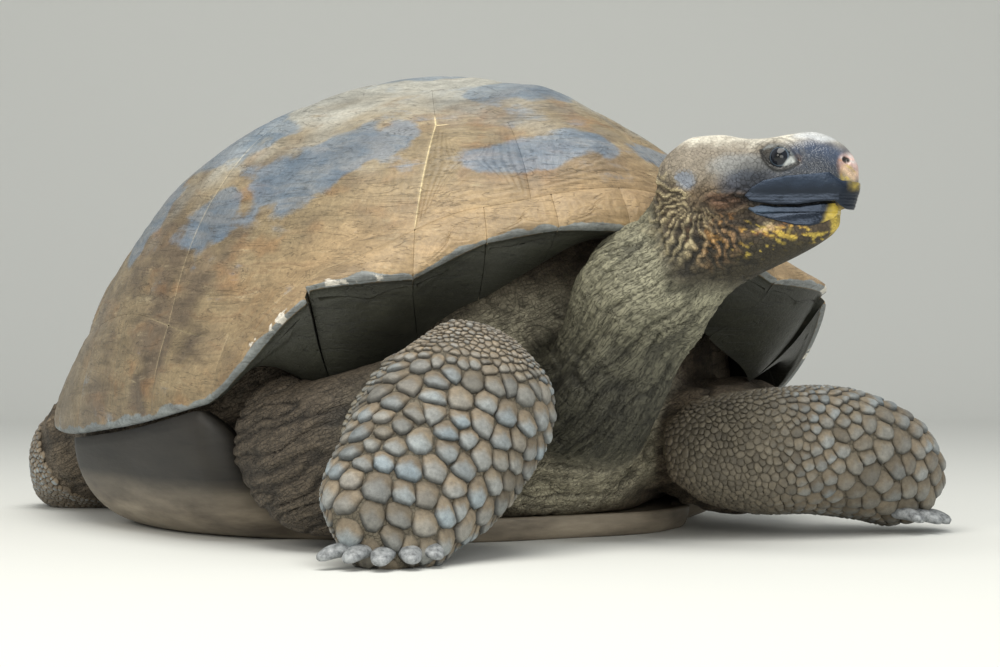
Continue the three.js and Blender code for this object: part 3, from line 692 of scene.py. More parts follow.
# %% [markdown]
# ## Plastron and bridges
# The belly shield is a flat dish whose sides rise as bridges to the rim. It is one profile,
# leaning from the resting flat to the top edge, carried round the shell and folded back inside.

# %% The plastron
PLASTRON_ANGLES = [0, 20, 35, 50, 65, 90, 115, 130, 145, 160, 180]
PLASTRON_REACH = [352, 366, 358, 335, 338, 345, 350, 345, 366, 408, 425]
LIP, OVERHANG, DISH_FLOOR, DISH_WALL = 28, 13, 24, 15
BRIDGE_FROM, BRIDGE_TO, BRIDGE_BLEND = 58, 118, 12


def plastron_rings(grow=0.0):
    """r runs from the flat's edge to the bridge's top by sin(lean), z rises by 1 - cos(lean)."""
    degrees = np.arange(0, 360, 1.5)
    a = np.minimum(degrees, 360 - degrees)
    bridge = smooth((a - BRIDGE_FROM) / BRIDGE_BLEND + 0.5)
    bridge = bridge * smooth((BRIDGE_TO - a) / BRIDGE_BLEND + 0.5)
    i = np.clip(np.searchsorted(PLASTRON_ANGLES, a, side="right") - 1, 0, len(PLASTRON_ANGLES) - 2)
    angles, reaches = np.array(PLASTRON_ANGLES), np.array(PLASTRON_REACH)
    flat = mix(reaches[i], reaches[i + 1], smooth((a - angles[i]) / (angles[i + 1] - angles[i])))
    rim = dome(np.ones_like(a), np.radians(degrees))
    far = mix(flat + OVERHANG, np.hypot(rim[:, 0], rim[:, 1]) - 4, bridge)
    top = mix(LIP, rim[:, 2] - 5, bridge)
    outer = [0.0] * 5 + list(np.linspace(0.12, np.pi / 2, 14))
    inner = list(np.linspace(np.pi / 2, 0.5, 6)) + [0.0] * 3
    rings = []
    for lean, inside in [(lean, 0) for lean in outer] + [(lean, 1) for lean in inner]:
        r = mix(flat, far, np.sin(lean)) - inside * (DISH_WALL + grow) + (1 - inside) * grow
        z = top * (1 - np.cos(lean)) + (grow if lean > 1.5 else -grow * np.cos(lean) * (1 - inside))
        z = np.maximum(z, DISH_FLOOR + grow) if inside else z
        rings.append(np.stack([r * np.sin(np.radians(degrees)), -r * np.cos(np.radians(degrees)), z], -1))
    rings = np.array(rings)
    rings[:5, :, :2] *= np.array([0.15, 0.4, 0.65, 0.88, 1.0])[:, None, None]
    rings[-3:, :, :2] *= np.array([0.93, 0.5, 0.1])[:, None, None]
    return rings


m = Paint("keratin_belly_plates_scuffed")
lines = m.fractal(1.0, 7.0, 0.6, m.stretched(9, 9, 40))
shade = m.ranged(m.split(m.place)[2], 0.03, 0.075, 1.0, 0.06)  # the bridges are dark above 3 to 7 cm
belly_horn = m.finish(
    Base_Color=m.scaled(m.ramp(lines, 0x5C5347, 0xA39784, 0.3, 0.72), shade), Roughness=0.55,
    Normal=m.bump(lines, 0.5, 0.003))
points, faces = closed_tube(plastron_rings())
plastron = mesh_from("plastron_horn", points, outward(points, faces))
piece("plastron_horn", plastron, belly_horn, ["plastron"])

# %% [markdown]
# ## Fields of distance
# Flesh has no seams where a leg meets the body. Each limb is a profile carried along a path, and
# a field stores the distance to it at every point of a grid: less than nothing inside. Blending
# two fields fuses two forms as skin would, and adding a little to a field pushes the skin in.

# %% Profiles along paths
def curve_through(stops, t):
    """A centripetal Catmull-Rom curve: cubic pieces whose slopes weigh the neighbours by the
    square root of their distance."""
    stops = np.asarray(stops, float)
    ends = np.vstack([2 * stops[0] - stops[1], stops, 2 * stops[-1] - stops[-2]])
    at = np.clip(t, 0, 1) * (len(stops) - 1)
    i = np.minimum(at.astype(int), len(stops) - 2)
    w = (at - i)[:, None]
    a, b, c, d = (ends[i + k] for k in range(4))
    root_gap = lambda m, n: np.maximum(np.sum((m - n) ** 2, 1), 1e-9)[:, None] ** 0.25
    ab, bc, cd = root_gap(a, b), root_gap(b, c), root_gap(c, d)
    slope_b = ((b - a) / ab - (c - a) / (ab + bc) + (c - b) / bc) * bc
    slope_c = ((c - b) / bc - (d - b) / (bc + cd) + (d - c) / cd) * bc
    h = w * w * (3 - 2 * w)
    return b * (1 - h) + c * h + slope_b * (w**3 - 2 * w * w + w) + slope_c * (w**3 - w * w)


def loft(stations, power=2.3, up=(0, 0, 1), across=None, straight=None, grow=0.0, steps=44, around=56):
    """Superellipse sections |x/a|^n + |y/b|^n = 1 along the path. A station is its place and the
    section's half-width and half-height."""
    stations = np.array(stations, float)
    t = np.linspace(0, 1, steps + 1)
    centre = curve_through(stations[:, :3], t)
    size = curve_through(stations[:, 3:] + grow, t)
    tangent = unit(curve_through(stations[:, :3], t + 1e-4) - curve_through(stations[:, :3], t - 1e-4))
    centre[0] -= tangent[0] * grow
    centre[-1] += tangent[-1] * grow
    ahead = tangent if straight is None else np.broadcast_to(np.array(straight, float), tangent.shape)
    if across is None:
        side = unit(np.cross(ahead, np.array(up, float)))
    else:
        across = np.array(across, float)
        side = unit(across - ahead * (ahead @ across)[:, None])
    above = unit(np.cross(side, ahead))
    c, s = (f(np.arange(around) * 2 * np.pi / around) for f in (np.cos, np.sin))
    r = (np.abs(c) ** power + np.abs(s) ** power) ** (-1 / power)
    wide = side[:, None] * (size[:, :1] * (r * c))[..., None]
    high = above[:, None] * (size[:, 1:] * (r * s))[..., None]
    return centre[:, None] + wide + high


# %% Grids of distance
BAND = 44.0  # distances are true up to this far from the surface,
BAND_VOXELS = 24.0  # and up to this many voxels from it


def distance_grid(surface, low, shape, voxel):
    """Distances in mm from grid points to a closed surface, negative inside."""
    points, faces = surface
    quads = faces[faces[:, 3] >= 0]
    triangles = faces[faces[:, 3] < 0][:, :3]
    made = openvdb.FloatGrid.createLevelSetFromPolygons(
        points.astype(np.float32), triangles=triangles.astype(np.uint32), quads=quads.astype(np.uint32),
        transform=openvdb.createLinearTransform(voxel), halfWidth=min(BAND / voxel, BAND_VOXELS))
    values = np.empty(shape, np.float32)
    made.copyToArray(values, ijk=tuple(int(round(v / voxel)) for v in low))
    return values


def fuse(a, b, width):
    """The nearer of two distances, rounded over a width where they are alike."""
    h = np.maximum(width - np.abs(a - b), 0) / width
    return np.minimum(a, b) - h * h * width / 4


def carve(a, b, width):
    """What is in a and not in b, with a rounded edge."""
    return -fuse(-a, b, width)


def softened(values):
    """Each grid value averaged with its neighbours along each axis, a quarter each."""
    for axis in range(3):
        values = np.moveaxis(values, axis, 0)
        inner = (values[:-2] + 2 * values[1:-1] + values[2:]) / 4
        values = np.moveaxis(np.concatenate([values[:1], inner, values[-1:]]), 0, axis)
    return values


def sample(field, points):
    """The field between grid points: the eight values round each place, weighted by nearness."""
    values, low, voxel = field
    size = np.array(values.shape)
    g = np.clip((points - low) / voxel, 0, size - 1.001)
    i = g.astype(np.int64)
    f = g - i
    flat = values.ravel()
    start = (i[:, 0] * size[1] + i[:, 1]) * size[2] + i[:, 2]
    total = np.zeros(len(points))
    for dx, dy, dz in np.ndindex(2, 2, 2):
        share = np.prod(np.where((dx, dy, dz), f, 1 - f), -1)
        total += share * flat[start + (dx * size[1] + dy) * size[2] + dz]
    return total


# %% [markdown]
# ## The flesh
# Neck, trunk, tail and legs repeat the solids' stations, drawn in by the depth of the scales.
# The shell and plastron are carved out of them, and everything ends on the floor in flats.

# %% Stations of the limbs
# A station is its place, half-width and half-height.
NECK = [[0, -300, 150, 112, 95], [-2, -372, 152, 98, 90], [-6, -432, 180, 76, 74],
        [0, -466, 232, 69, 73], [12, -494, 285, 78, 80], [38, -531, 335, 62, 70],
        [50, -549, 380, 53, 54], [58, -556, 405, 36, 36]]
FORELEG_R = [[-152, -455, 238, 22, 22], [-168, -457, 218, 74, 56], [-205, -466, 168, 100, 78],
             [-262, -486, 116, 102, 76], [-322, -515, 74, 88, 66], [-366, -542, 42, 76, 52],
             [-400, -566, 26, 46, 26]]
FORELEG_R_UPPER = [[-205, -430, 170, 40, 40], [-232, -408, 152, 80, 76], [-292, -362, 116, 86, 88],
                   [-318, -318, 104, 74, 90], [-318, -255, 128, 74, 80], [-312, -210, 150, 46, 50]]
FORELEG_L = [[118, -388, 100, 30, 34], [150, -412, 104, 62, 66], [228, -440, 102, 78, 86],
             [310, -454, 102, 80, 90], [378, -468, 84, 74, 80], [424, -480, 56, 60, 58],
             [450, -488, 36, 32, 26]]
FORELEG_L_UPPER = [[160, -378, 98, 40, 40], [205, -350, 104, 80, 76], [285, -318, 100, 88, 84],
                   [318, -258, 120, 80, 76], [315, -205, 140, 46, 46]]
HINDLEG = [[318, 392, 90, 30, 30], [308, 418, 78, 68, 60], [282, 458, 50, 76, 60],
           [262, 495, 32, 74, 46], [250, 530, 20, 44, 24]]
HINDLEG_UPPER = [[250, 250, 140, 50, 50], [262, 320, 125, 88, 76], [285, 395, 100, 92, 78],
                 [300, 440, 86, 62, 58], [304, 470, 80, 26, 24]]
TAIL = [[0, 395, 80, 30, 30], [0, 440, 74, 42, 38], [6, 480, 62, 34, 30],
        [16, 520, 46, 24, 21], [30, 552, 32, 14, 12], [36, 566, 27, 5, 4]]
TRUNK = [[0, -350, 150, 105, 96], [0, -336, 155, 150, 122], [0, -300, 175, 215, 165],
         [0, -230, 215, 305, 225], [0, -110, 250, 440, 275], [0, 40, 260, 470, 280],
         [0, 220, 235, 440, 240], [0, 360, 195, 350, 190], [0, 420, 165, 250, 145],
         [0, 446, 140, 130, 100]]
BROAD_FACE_R, BROAD_FACE_L = (-0.45, -0.9, 0), (0, -1, 0.15)
LEG_COAT, HIDE_COAT = -4.0, -1.5  # how far the skin lies inside the solids


def other_side(stations):
    return [[-x, *rest] for x, *rest in stations]


# %% The head's own axes: u forward to the snout, v to its left, w up
HEAD_ORIGIN = np.array([35.0, -534.0, 399.0])
HEAD_TURN = np.radians(-50)
HEAD_AXES = np.array([[np.cos(HEAD_TURN), np.sin(HEAD_TURN), 0],
                      [-np.sin(HEAD_TURN), np.cos(HEAD_TURN), 0], [0, 0, 1]])
# Sections of the head: u, half-width, top and bottom.
CRANIUM = [[-22, 30, 42, -30], [-8, 47, 57, -44], [18, 58, 72, -52], [48, 60, 74, -48],
           [78, 57, 69, -36], [104, 53, 69, -22], [132, 48, 73, -12], [155, 42, 75, -10],
           [174, 35, 69, -10], [190, 26, 58, -14], [199, 16, 47, -12], [206, 7, 35, 6]]
JAW = [[-10, 34, 10, -70], [18, 50, 10, -98], [48, 55, 5, -104], [78, 53, 0, -93], [106, 46, -2, -80],
       [134, 38, -4, -67], [157, 30, -5, -55], [175, 21, -7, -43], [184, 11, -12, -32]]


def to_head(points):
    return (points - HEAD_ORIGIN) @ HEAD_AXES.T


def from_head(points):
    return points @ HEAD_AXES + HEAD_ORIGIN


def head_loft(sections, grow=0.0, steps=60):
    stations = [[u, 0, (top + bottom) / 2, half, (top - bottom) / 2] for u, half, top, bottom in sections]
    return loft(stations, straight=(1, 0, 0), grow=grow, steps=steps)


# %% Body field
VOXEL = 4.5
BODY_LOW = np.array([-108, -160, -6]) * VOXEL
BODY_SHAPE = (217, 297, 112)


def body_grid(rings):
    return distance_grid(closed_tube(rings), BODY_LOW, BODY_SHAPE, VOXEL)


def shell_rings():
    """The dome outside, then its inner side 15 mm within, as one closed surface."""
    phi = np.radians(np.arange(0, 360, 3.0))
    out_rho, in_rho = np.linspace(0.02, 1, 36), np.linspace(1, 0.02, 36)
    spread = lambda rho: (rho[:, None] * np.sin(phi), -rho[:, None] * np.cos(phi))
    (p, q), (pi, qi) = spread(out_rho), spread(in_rho)
    inner = dome_at(pi, qi) - dome_normal(pi, qi) * (SHELL["thickness"] + 2)
    in_marginals = np.hypot(pi, qi) > rim_value(RIM_RING, np.arctan2(pi, -qi)) - 0.01
    return np.concatenate([dome_at(p, q), inner + hang(pi, qi) * in_marginals[..., None]])


def body_field():
    """Limbs fused with the trunk over 20 to 34 mm, less the shell and plastron, cut at the floor."""
    trunk = body_grid(loft(TRUNK, power=2.6, straight=(0, 1, 0), grow=-2))
    phi = np.radians(np.arange(0, 360, 4.0))
    rho = np.linspace(0.02, 1, 30)[:, None]
    p, q = rho * np.sin(phi), -rho * np.cos(phi)
    room = dome_at(p, q) - dome_normal(p, q) * (SHELL["thickness"] + 9)
    foot = room[-1:] * [1, 1, 0] - [0, 0, 30]
    trunk = -fuse(-trunk, -body_grid(np.concatenate([room, foot])), 12)
    neck = body_grid(loft(NECK, power=2.1, across=(1, 0, 0), grow=HIDE_COAT))
    parts = {
        "neck": neck,
        "forearm_r": body_grid(loft(FORELEG_R, up=BROAD_FACE_R, grow=LEG_COAT)),
        "arm_r": body_grid(loft(FORELEG_R_UPPER, grow=-2)),
        "forearm_l": body_grid(loft(FORELEG_L, up=BROAD_FACE_L, power=2.5, grow=LEG_COAT)),
        "arm_l": body_grid(loft(FORELEG_L_UPPER, grow=-2)),
    }
    for side, turn in (("l", list), ("r", other_side)):
        parts["foot_" + side] = body_grid(loft(turn(HINDLEG), grow=-3))
        parts["thigh_" + side] = body_grid(loft(turn(HINDLEG_UPPER), grow=-3))
    flesh = fuse(trunk, neck, 34)
    for limb in ("forearm_r arm_r", "forearm_l arm_l", "foot_l thigh_l", "foot_r thigh_r"):
        low, high = limb.split()
        flesh = fuse(flesh, fuse(parts[low], parts[high], 24), 24)
    flesh = fuse(flesh, body_grid(loft(TAIL, grow=-1.5)), 20)
    for rings in (head_loft(CRANIUM, -1), head_loft(JAW, -1)):
        flesh = fuse(flesh, body_grid(from_head(rings)), 14)
    flesh = carve(flesh, body_grid(shell_rings()) - 2, 4)
    flesh = carve(flesh, body_grid(plastron_rings()) - 2, 4)
    flesh = softened(flesh)
    height = (BODY_LOW[2] + VOXEL * np.arange(BODY_SHAPE[2])).astype(np.float32)
    return np.maximum(flesh, -height), parts


body_values, part_values = body_field()
body = (body_values, BODY_LOW, VOXEL)
print("body field:", body_values.shape)


def part_distance(name, points):
    """The distance to one limb by itself, to tell whose skin a point is."""
    return sample((part_values[name], BODY_LOW, VOXEL), points)


# %% [markdown]
# ## Sculpting the head
# The head is carved in a finer grid of its own: lids over the eyeballs, the line of the mouth,
# nostrils, the ear, and folds of loose skin behind the jaw. Each feature is a ridge or hollow
# that is added to the field, strongest along a line or round a point.

# %% Head field
HEAD_VOXEL = 1.3
HEAD_LOW = np.array([-56, -62, -98]) * HEAD_VOXEL
HEAD_SHAPE = (222, 125, 166)
EYE_U, EYE_V, EYE_W, EYE_RADIUS = 126.0, 38.0, 43.0, 15.0


def polyline_distance(u, w, stops):
    """The shortest distance in the head's side view from each point to a line of stops."""
    best = np.full(np.broadcast(u, w).shape, 999.0, np.float32)
    for (u0, w0), (u1, w1) in zip(stops, stops[1:]):
        du, dw = u1 - u0, w1 - w0
        t = np.clip(((u - u0) * du + (w - w0) * dw) / (du * du + dw * dw), 0, 1)
        best = np.minimum(best, np.hypot(u - u0 - t * du, w - w0 - t * dw))
    return best


def lid_distance(u, w):
    """Outside the almond of the eye opening, about how far; the almond is a pair of parabolas."""
    along = (u - EYE_U + 2) * 0.94 - (w - EYE_W - 1) * 0.34
    rise = (u - EYE_U + 2) * 0.34 + (w - EYE_W - 1) * 0.94
    half = np.where(rise > 0, 9.8, 11.2) * (1 - (along / 20.5) ** 2)
    return (np.abs(rise) - half) * 0.8, along, rise


NOSTRIL = (194.5, 15.5, 40.5)
MOUTH = [(62, -6), (76, 0), (92, -5.2), (118, -9.8), (143, -9.8), (164, -6.8), (183, -5.9), (204, -8)]
FAN_HUB, FAN_FOLDS = (34.0, -4.0), 27.0
JAW_FOLDS = [[(-28, 4), (-18, -14), (-8, -34), (2, -62)], [(47, 28), (36, 14), (31, 4)]]
CORNER_FOLDS = [[(84, 2), (68, 6), (54, 4), (40, -2), (33, -12)],
                [(86, -12), (72, -17), (60, -19), (46, -18), (34, -22)],
                [(76, -6), (62, -8), (50, -8)], [(92, -26), (74, -30), (58, -30)]]


def fan(u, w, waver):
    """Thin ridges that radiate down and back from a hub below the ear: a cosine of the angle
    round the hub, bent by a wavering, and how strong they are at this place."""
    du, dw = u - FAN_HUB[0], w - FAN_HUB[1]
    angle, far = np.arctan2(-dw, -du), np.hypot(du, dw)
    reach = smooth(angle, -0.9, -0.4) * (1 - smooth(angle, 2.2, 2.75))
    share = smooth(far, 5, 18) * (1 - smooth(far, 52, 86)) * reach
    return (0.5 + 0.5 * np.cos(FAN_FOLDS * angle + waver)) ** 1.5, share


def fan_waver(u, side, w):
    slow = 2.0 * np.sin(u / 10) + 1.6 * np.sin(w / 8 + side / 5)
    return slow + 1.1 * np.sin(u / 4.3 - w / 6.1) + 0.8 * np.sin((u + w) / 3.1)


def from_nostril(u, side, w):
    """The distance to the middle of the nostril on either side."""
    return np.sqrt((u - NOSTRIL[0]) ** 2 + (side - NOSTRIL[1]) ** 2 + (w - NOSTRIL[2]) ** 2)


def head_field():
    low, voxel = HEAD_LOW, HEAD_VOXEL
    grid = lambda rings: distance_grid(closed_tube(rings), low, HEAD_SHAPE, voxel)
    flesh = fuse(grid(head_loft(CRANIUM, -1)), grid(head_loft(JAW, -1)), 7)
    neck = loft(NECK, power=2.1, across=(1, 0, 0), grow=HIDE_COAT, steps=90)
    flesh = fuse(flesh, grid(to_head(neck)), 14)
    flesh = softened(flesh)
    u, v, w = (low[i] + voxel * np.arange(HEAD_SHAPE[i], dtype=np.float32) for i in range(3))
    u, side, w = u[:, None, None], np.abs(v)[None, :, None], w[None, None, :]
    flank = smooth(side, 12, 30)
    # Lids: a sphere a little larger than the eyeball, opened by the almond.
    lid, along, rise = lid_distance(u, w)
    ball = np.sqrt((u - EYE_U) ** 2 + (side - EYE_V) ** 2 + (w - EYE_W) ** 2)
    flesh = fuse(flesh, ball - EYE_RADIUS - 1.9, 6)
    round_eye = hump(np.hypot(along, rise), 34) * flank
    flesh = flesh - 0.9 * hump(lid - 1.6, 1.5) * round_eye
    flesh = flesh + 1.2 * hump(lid - 5.0, 1.5) * round_eye - 0.6 * hump(lid - 7.6, 1.5) * round_eye
    flesh = flesh + (1.0 * hump(lid - 10.2, 1.5) + 0.9 * hump(lid - 14.5, 1.6)) * round_eye * (rise > 0)
    over_eye = polyline_distance(u, w, [(98, 62), (118, 66), (140, 63), (152, 52)])
    flesh = flesh - 1.6 * hump(over_eye, 6) * flank
    flesh = carve(flesh, np.maximum(lid, 44.5 - side), 1.0)
    # Mouth, cheek and loose skin.
    flesh = flesh + 2.2 * hump(polyline_distance(u, w, MOUTH), 1.7) * smooth(side, 0, 6)
    ridge, share = fan(u, w, fan_waver(u, side, w))
    flesh = flesh - 2.3 * (ridge - 0.4) * share * flank
    height, width = 1.6, 2.4
    for stops in JAW_FOLDS + CORNER_FOLDS:
        fold = polyline_distance(u, w, stops)
        beside = 0.9 * height * hump(fold - 1.9 * width, width * 0.8)
        flesh = flesh + (beside - height * hump(fold, width)) * flank
    # Ear, nostrils, and the groove between snout and brow.
    ear = np.hypot((u - 19) / 12, (w - 18) / 10)
    flesh = flesh + 2.4 * hump(ear, 0.9) * flank - 1.0 * hump(ear - 1.35, 0.3) * flank
    brow = polyline_distance(u, w, [(146, 40), (150, 48), (171, 55), (196, 56)])
    flesh = flesh + 0.9 * hump(brow, 1.6) * smooth(side, 4, 14)
    flesh = carve(flesh, from_nostril(u, side, w) - 4.9, 1.6)
    flesh = flesh + 0.7 * hump(u - 197, 2) * hump(w - 24, 12) * (side < 3)
    return flesh


head = (head_field().astype(np.float32), HEAD_LOW, HEAD_VOXEL)
print("head field:", head[0].shape)


def skin_distance(points):
    """The head's fine field inside its box and the body's outside, mixed over 18 mm."""
    local = to_head(points)
    low = HEAD_LOW + 2
    high = HEAD_LOW + HEAD_VOXEL * (np.array(HEAD_SHAPE) - 1) - 2
    inside = np.min(np.minimum(local - low, high - local), axis=1)
    share = smooth(inside, 0, 18)
    return mix(sample(body, points), sample(head, local), share)


def skin_normal(points, reach=2.2):
    """The direction in which the distance grows fastest, by differences over a short reach."""
    steps = np.eye(3) * reach
    return unit(np.stack([skin_distance(points + s) - skin_distance(points - s) for s in steps], -1))


def onto_skin(points, rounds=3):
    """Moves points along the normal by their distance until they lie on the skin."""
    for _ in range(rounds):
        points = points - skin_normal(points) * skin_distance(points)[:, None]
    return points


# %% [markdown]
# ## One skin
# The field's surface becomes a mesh of 9 mm squares. Where detail needs it, squares are split in
# four up to three times: neck, chest and right upper arm, then those and the face, then the lids.

# %% Splitting squares where detail is needed
def split(points, faces, wanted):
    """Splits wanted squares in four. A neighbour that keeps its size takes the new points on
    their shared edges into its outline, so the surface stays closed."""
    count = (faces >= 0).sum(1)
    wanted = wanted & (count == 4)
    quads = faces[wanted][:, :4]
    after = np.roll(quads, -1, axis=1)
    size = len(points)
    keys = np.minimum(quads, after).astype(np.int64) * size + np.maximum(quads, after)
    edges, which = np.unique(keys.ravel(), return_inverse=True)
    middles = (points[edges // size] + points[edges % size]) / 2
    centres = points[quads].mean(1)
    middle = size + which.reshape(-1, 4)
    centre = size + len(edges) + np.arange(len(quads))
    small = [np.stack([quads[:, i], middle[:, i], centre, middle[:, i - 1]], -1) for i in range(4)]
    rest, total = faces[~wanted], count[~wanted]
    width = rest.shape[1]
    at = np.arange(width)
    following = np.take_along_axis(rest, np.where(at + 1 < total[:, None], at + 1, 0), 1)
    key = np.minimum(rest, following).astype(np.int64) * size + np.maximum(rest, following)
    found = np.clip(np.searchsorted(edges, key), 0, len(edges) - 1)
    cut = (edges[found] == key) & (rest >= 0)
    woven = np.stack([rest, np.where(cut, size + found, -1)], -1).reshape(len(rest), -1)
    woven = np.take_along_axis(woven, np.argsort(woven < 0, axis=1, kind="stable"), 1)
    woven = woven[:, : max(4, (woven >= 0).sum(1).max())]
    small = np.vstack(small)
    padded = np.full((len(small), woven.shape[1]), -1)
    padded[:, :4] = small
    return np.vstack([points, middles, centres]), np.vstack([woven, padded])


def face_centres(points, faces):
    used = (faces >= 0)[..., None]
    return (points[np.maximum(faces, 0)] * used).sum(1) / used.sum(1)


def largest_body(points, quads):
    """The quads of the largest connected surface, by spreading the smallest point number."""
    label = np.arange(len(points))
    while True:
        low = label[quads].min(1)
        fresh = label.copy()
        np.minimum.at(fresh, quads.ravel(), np.repeat(low, 4))
        fresh = fresh[fresh]
        if np.array_equal(fresh, label):
            break
        label = fresh
    names, counts = np.unique(label[quads[:, 0]], return_counts=True)
    kept = quads[label[quads[:, 0]] == names[counts.argmax()]]
    used, numbers = np.unique(kept, return_inverse=True)
    return points[used], numbers.reshape(-1, 4)


def near_line(points, stops, radius):
    """How far points lie from a line through stops, as a share of a radius."""
    best = np.full(len(points), 9e9)
    stops = np.array(stops, float)
    for a, b in zip(stops, stops[1:]):
        t = np.clip((points - a) @ (b - a) / np.sum((b - a) ** 2), 0, 1)[:, None]
        best = np.minimum(best, np.linalg.norm(points - a - t * (b - a), axis=1))
    return best / radius


NECK_LINE = np.array(NECK)[:, :3]
NECK_RADIUS = 68  # turns the angle round the neck into millimetres
CHEST = [(-120, -400, 90), (60, -410, 90), (190, -380, 110)]


def coarse_skin():
    coarse = openvdb.FloatGrid(BAND)
    coarse.copyFromArray(np.ascontiguousarray(body_values[::2, ::2, ::2]))
    coarse.transform = openvdb.createLinearTransform(2 * VOXEL)
    points, quads = coarse.convertToQuads(0.0)
    points = np.asarray(points, float) + BODY_LOW
    points, quads = largest_body(points, np.asarray(quads, np.int64))
    return onto_skin(points), outward(points, quads)


def refined_skin():
    """The skin's mesh after three rounds of splitting, each put back onto the skin."""
    points, faces = coarse_skin()
    middle = face_centres(points, faces)
    neck_near = near_line(middle, NECK_LINE, 125) < 1
    chest_near = near_line(middle, CHEST, 150) < 1
    flank_near = near_line(middle, np.array(FORELEG_R_UPPER)[:, :3], 125) < 1
    in_front = (neck_near | chest_near) & (middle[:, 1] < -335)
    points, faces = split(points, faces, in_front | flank_near | (middle[:, 1] < -470))
    points = onto_skin(points, 2)
    middle = face_centres(points, faces)
    local = to_head(middle)
    on_neck = (near_line(middle, NECK_LINE[2:], 100) < 1) & (middle[:, 2] > 110)
    on_head = (local[:, 0] > -40) & (local[:, 2] > -115)
    front_chest = (near_line(middle, CHEST, 110) < 1) & (middle[:, 1] < -360)
    flank = (near_line(middle, np.array(FORELEG_R_UPPER)[1:4, :3], 115) < 1) & (middle[:, 0] < -200)
    points, faces = split(points, faces, on_neck | on_head | front_chest | flank)
    points = onto_skin(points, 2)
    local = to_head(face_centres(points, faces))
    lid, _, _ = lid_distance(local[:, 0], local[:, 2])
    at_eye = (lid < 12) & (np.abs(local[:, 1]) > 25) & (local[:, 2] > 10)
    at_nose = (local[:, 0] > 188) & (local[:, 2] > 20)
    at_mouth = (polyline_distance(local[:, 0], local[:, 2], MOUTH[:3]) < 7) & (local[:, 0] > 20)
    points, faces = split(points, faces, at_eye | at_nose | at_mouth)
    return onto_skin(points, 3), faces


skin_points, skin_faces = refined_skin()
print("skin:", len(skin_points), "points,", len(skin_faces), "faces")

# %% [markdown]
# ## Wrinkles
# Loose hide creases across the way it folds. Creases are thin and wander: they lie where smooth
# noise passes through zero. Each region has its own lie: along and round the neck, level on the
# chest, slanting on the upper arms.

# %% Where a point lies along a limb
def along_limb(points, stations, across=(1, 0, 0)):
    """For each point: how far along the path in mm, the angle round it, and its share."""
    t = np.linspace(0, 1, 90)
    path = curve_through(np.array(stations, float)[:, :3], t)
    walked = np.concatenate(([0], np.cumsum(np.linalg.norm(np.diff(path, axis=0), axis=1))))
    ahead = unit(np.gradient(path, axis=0))
    side = unit(np.array(across, float) - ahead * (ahead @ np.array(across, float))[:, None])
    above = np.cross(side, ahead)
    gap = ((points[:, None, :].astype(np.float32) - path.astype(np.float32)) ** 2).sum(-1)
    i = gap.argmin(1)
    out = points - path[i]
    extra = np.sum(out * ahead[i], 1)
    angle = np.arctan2(np.sum(out * above[i], 1), np.sum(out * side[i], 1))
    return walked[i] + extra, angle, (walked[i] + extra) / walked[-1]


def regions(points):
    """Soft shares of the skin's regions: head, neck, chest, and arms with the rest of the hide."""
    local = to_head(points)
    head_share = smooth(local[:, 0] + 0.35 * local[:, 2], -42, -12) * smooth(local[:, 2], -112, -84)
    neck_share = (1 - smooth(near_line(points, NECK_LINE[2:], 1), 88, 118)) * (1 - head_share)
    neck_share = neck_share * smooth(points[:, 2], 70, 120)
    free = (1 - head_share) * (1 - neck_share)
    on_either = lambda part, reach, soft: np.maximum(
        *[smooth(reach - part_distance(part + side, points), 0, soft) for side in "lr"])
    forearm = on_either("forearm_", 10, 8)
    arm = on_either("arm_", 12, 10) * (1 - forearm) * free
    chest = smooth(-points[:, 1], 300, 350) * free * (1 - arm) * (1 - forearm)
    return head_share, neck_share, chest, np.maximum(arm, free * (1 - chest) * (1 - forearm))


def neck_grain(points):
    """Neck coordinates for slanting creases, 8.5 mm apart round the neck and 36 mm along it."""
    down, angle, _ = along_limb(points, NECK)
    round_neck = angle * NECK_RADIUS
    lean = round_neck + 0.35 * down
    return np.stack([lean / 8.5, (down - 0.55 * round_neck) / 36, np.zeros_like(down)], -1)


CREASE_RUN = unit(np.array([0.77, -0.48, 0.42]))  # creases of the arms rise towards the neck
CREASE_GAP = unit(np.cross(CREASE_RUN, [-0.53, -0.85, 0.0]))


def fold_grain(points):
    """Coordinates for creases 80 mm long and 13 mm apart that slant as loose hide hangs."""
    third = np.cross(CREASE_RUN, CREASE_GAP)
    return np.stack([points @ CREASE_RUN / 80, points @ CREASE_GAP / 13, points @ third / 60], -1) + 5.5


def crumple(across, along, seed, reach, points):
    """0 in thin wandering creases, where smooth noise passes through zero, and 1 between them."""
    return smooth(np.abs(noise(np.stack([across, along, points[:, 2] / 150], -1), 1.0, seed)), 0, reach)


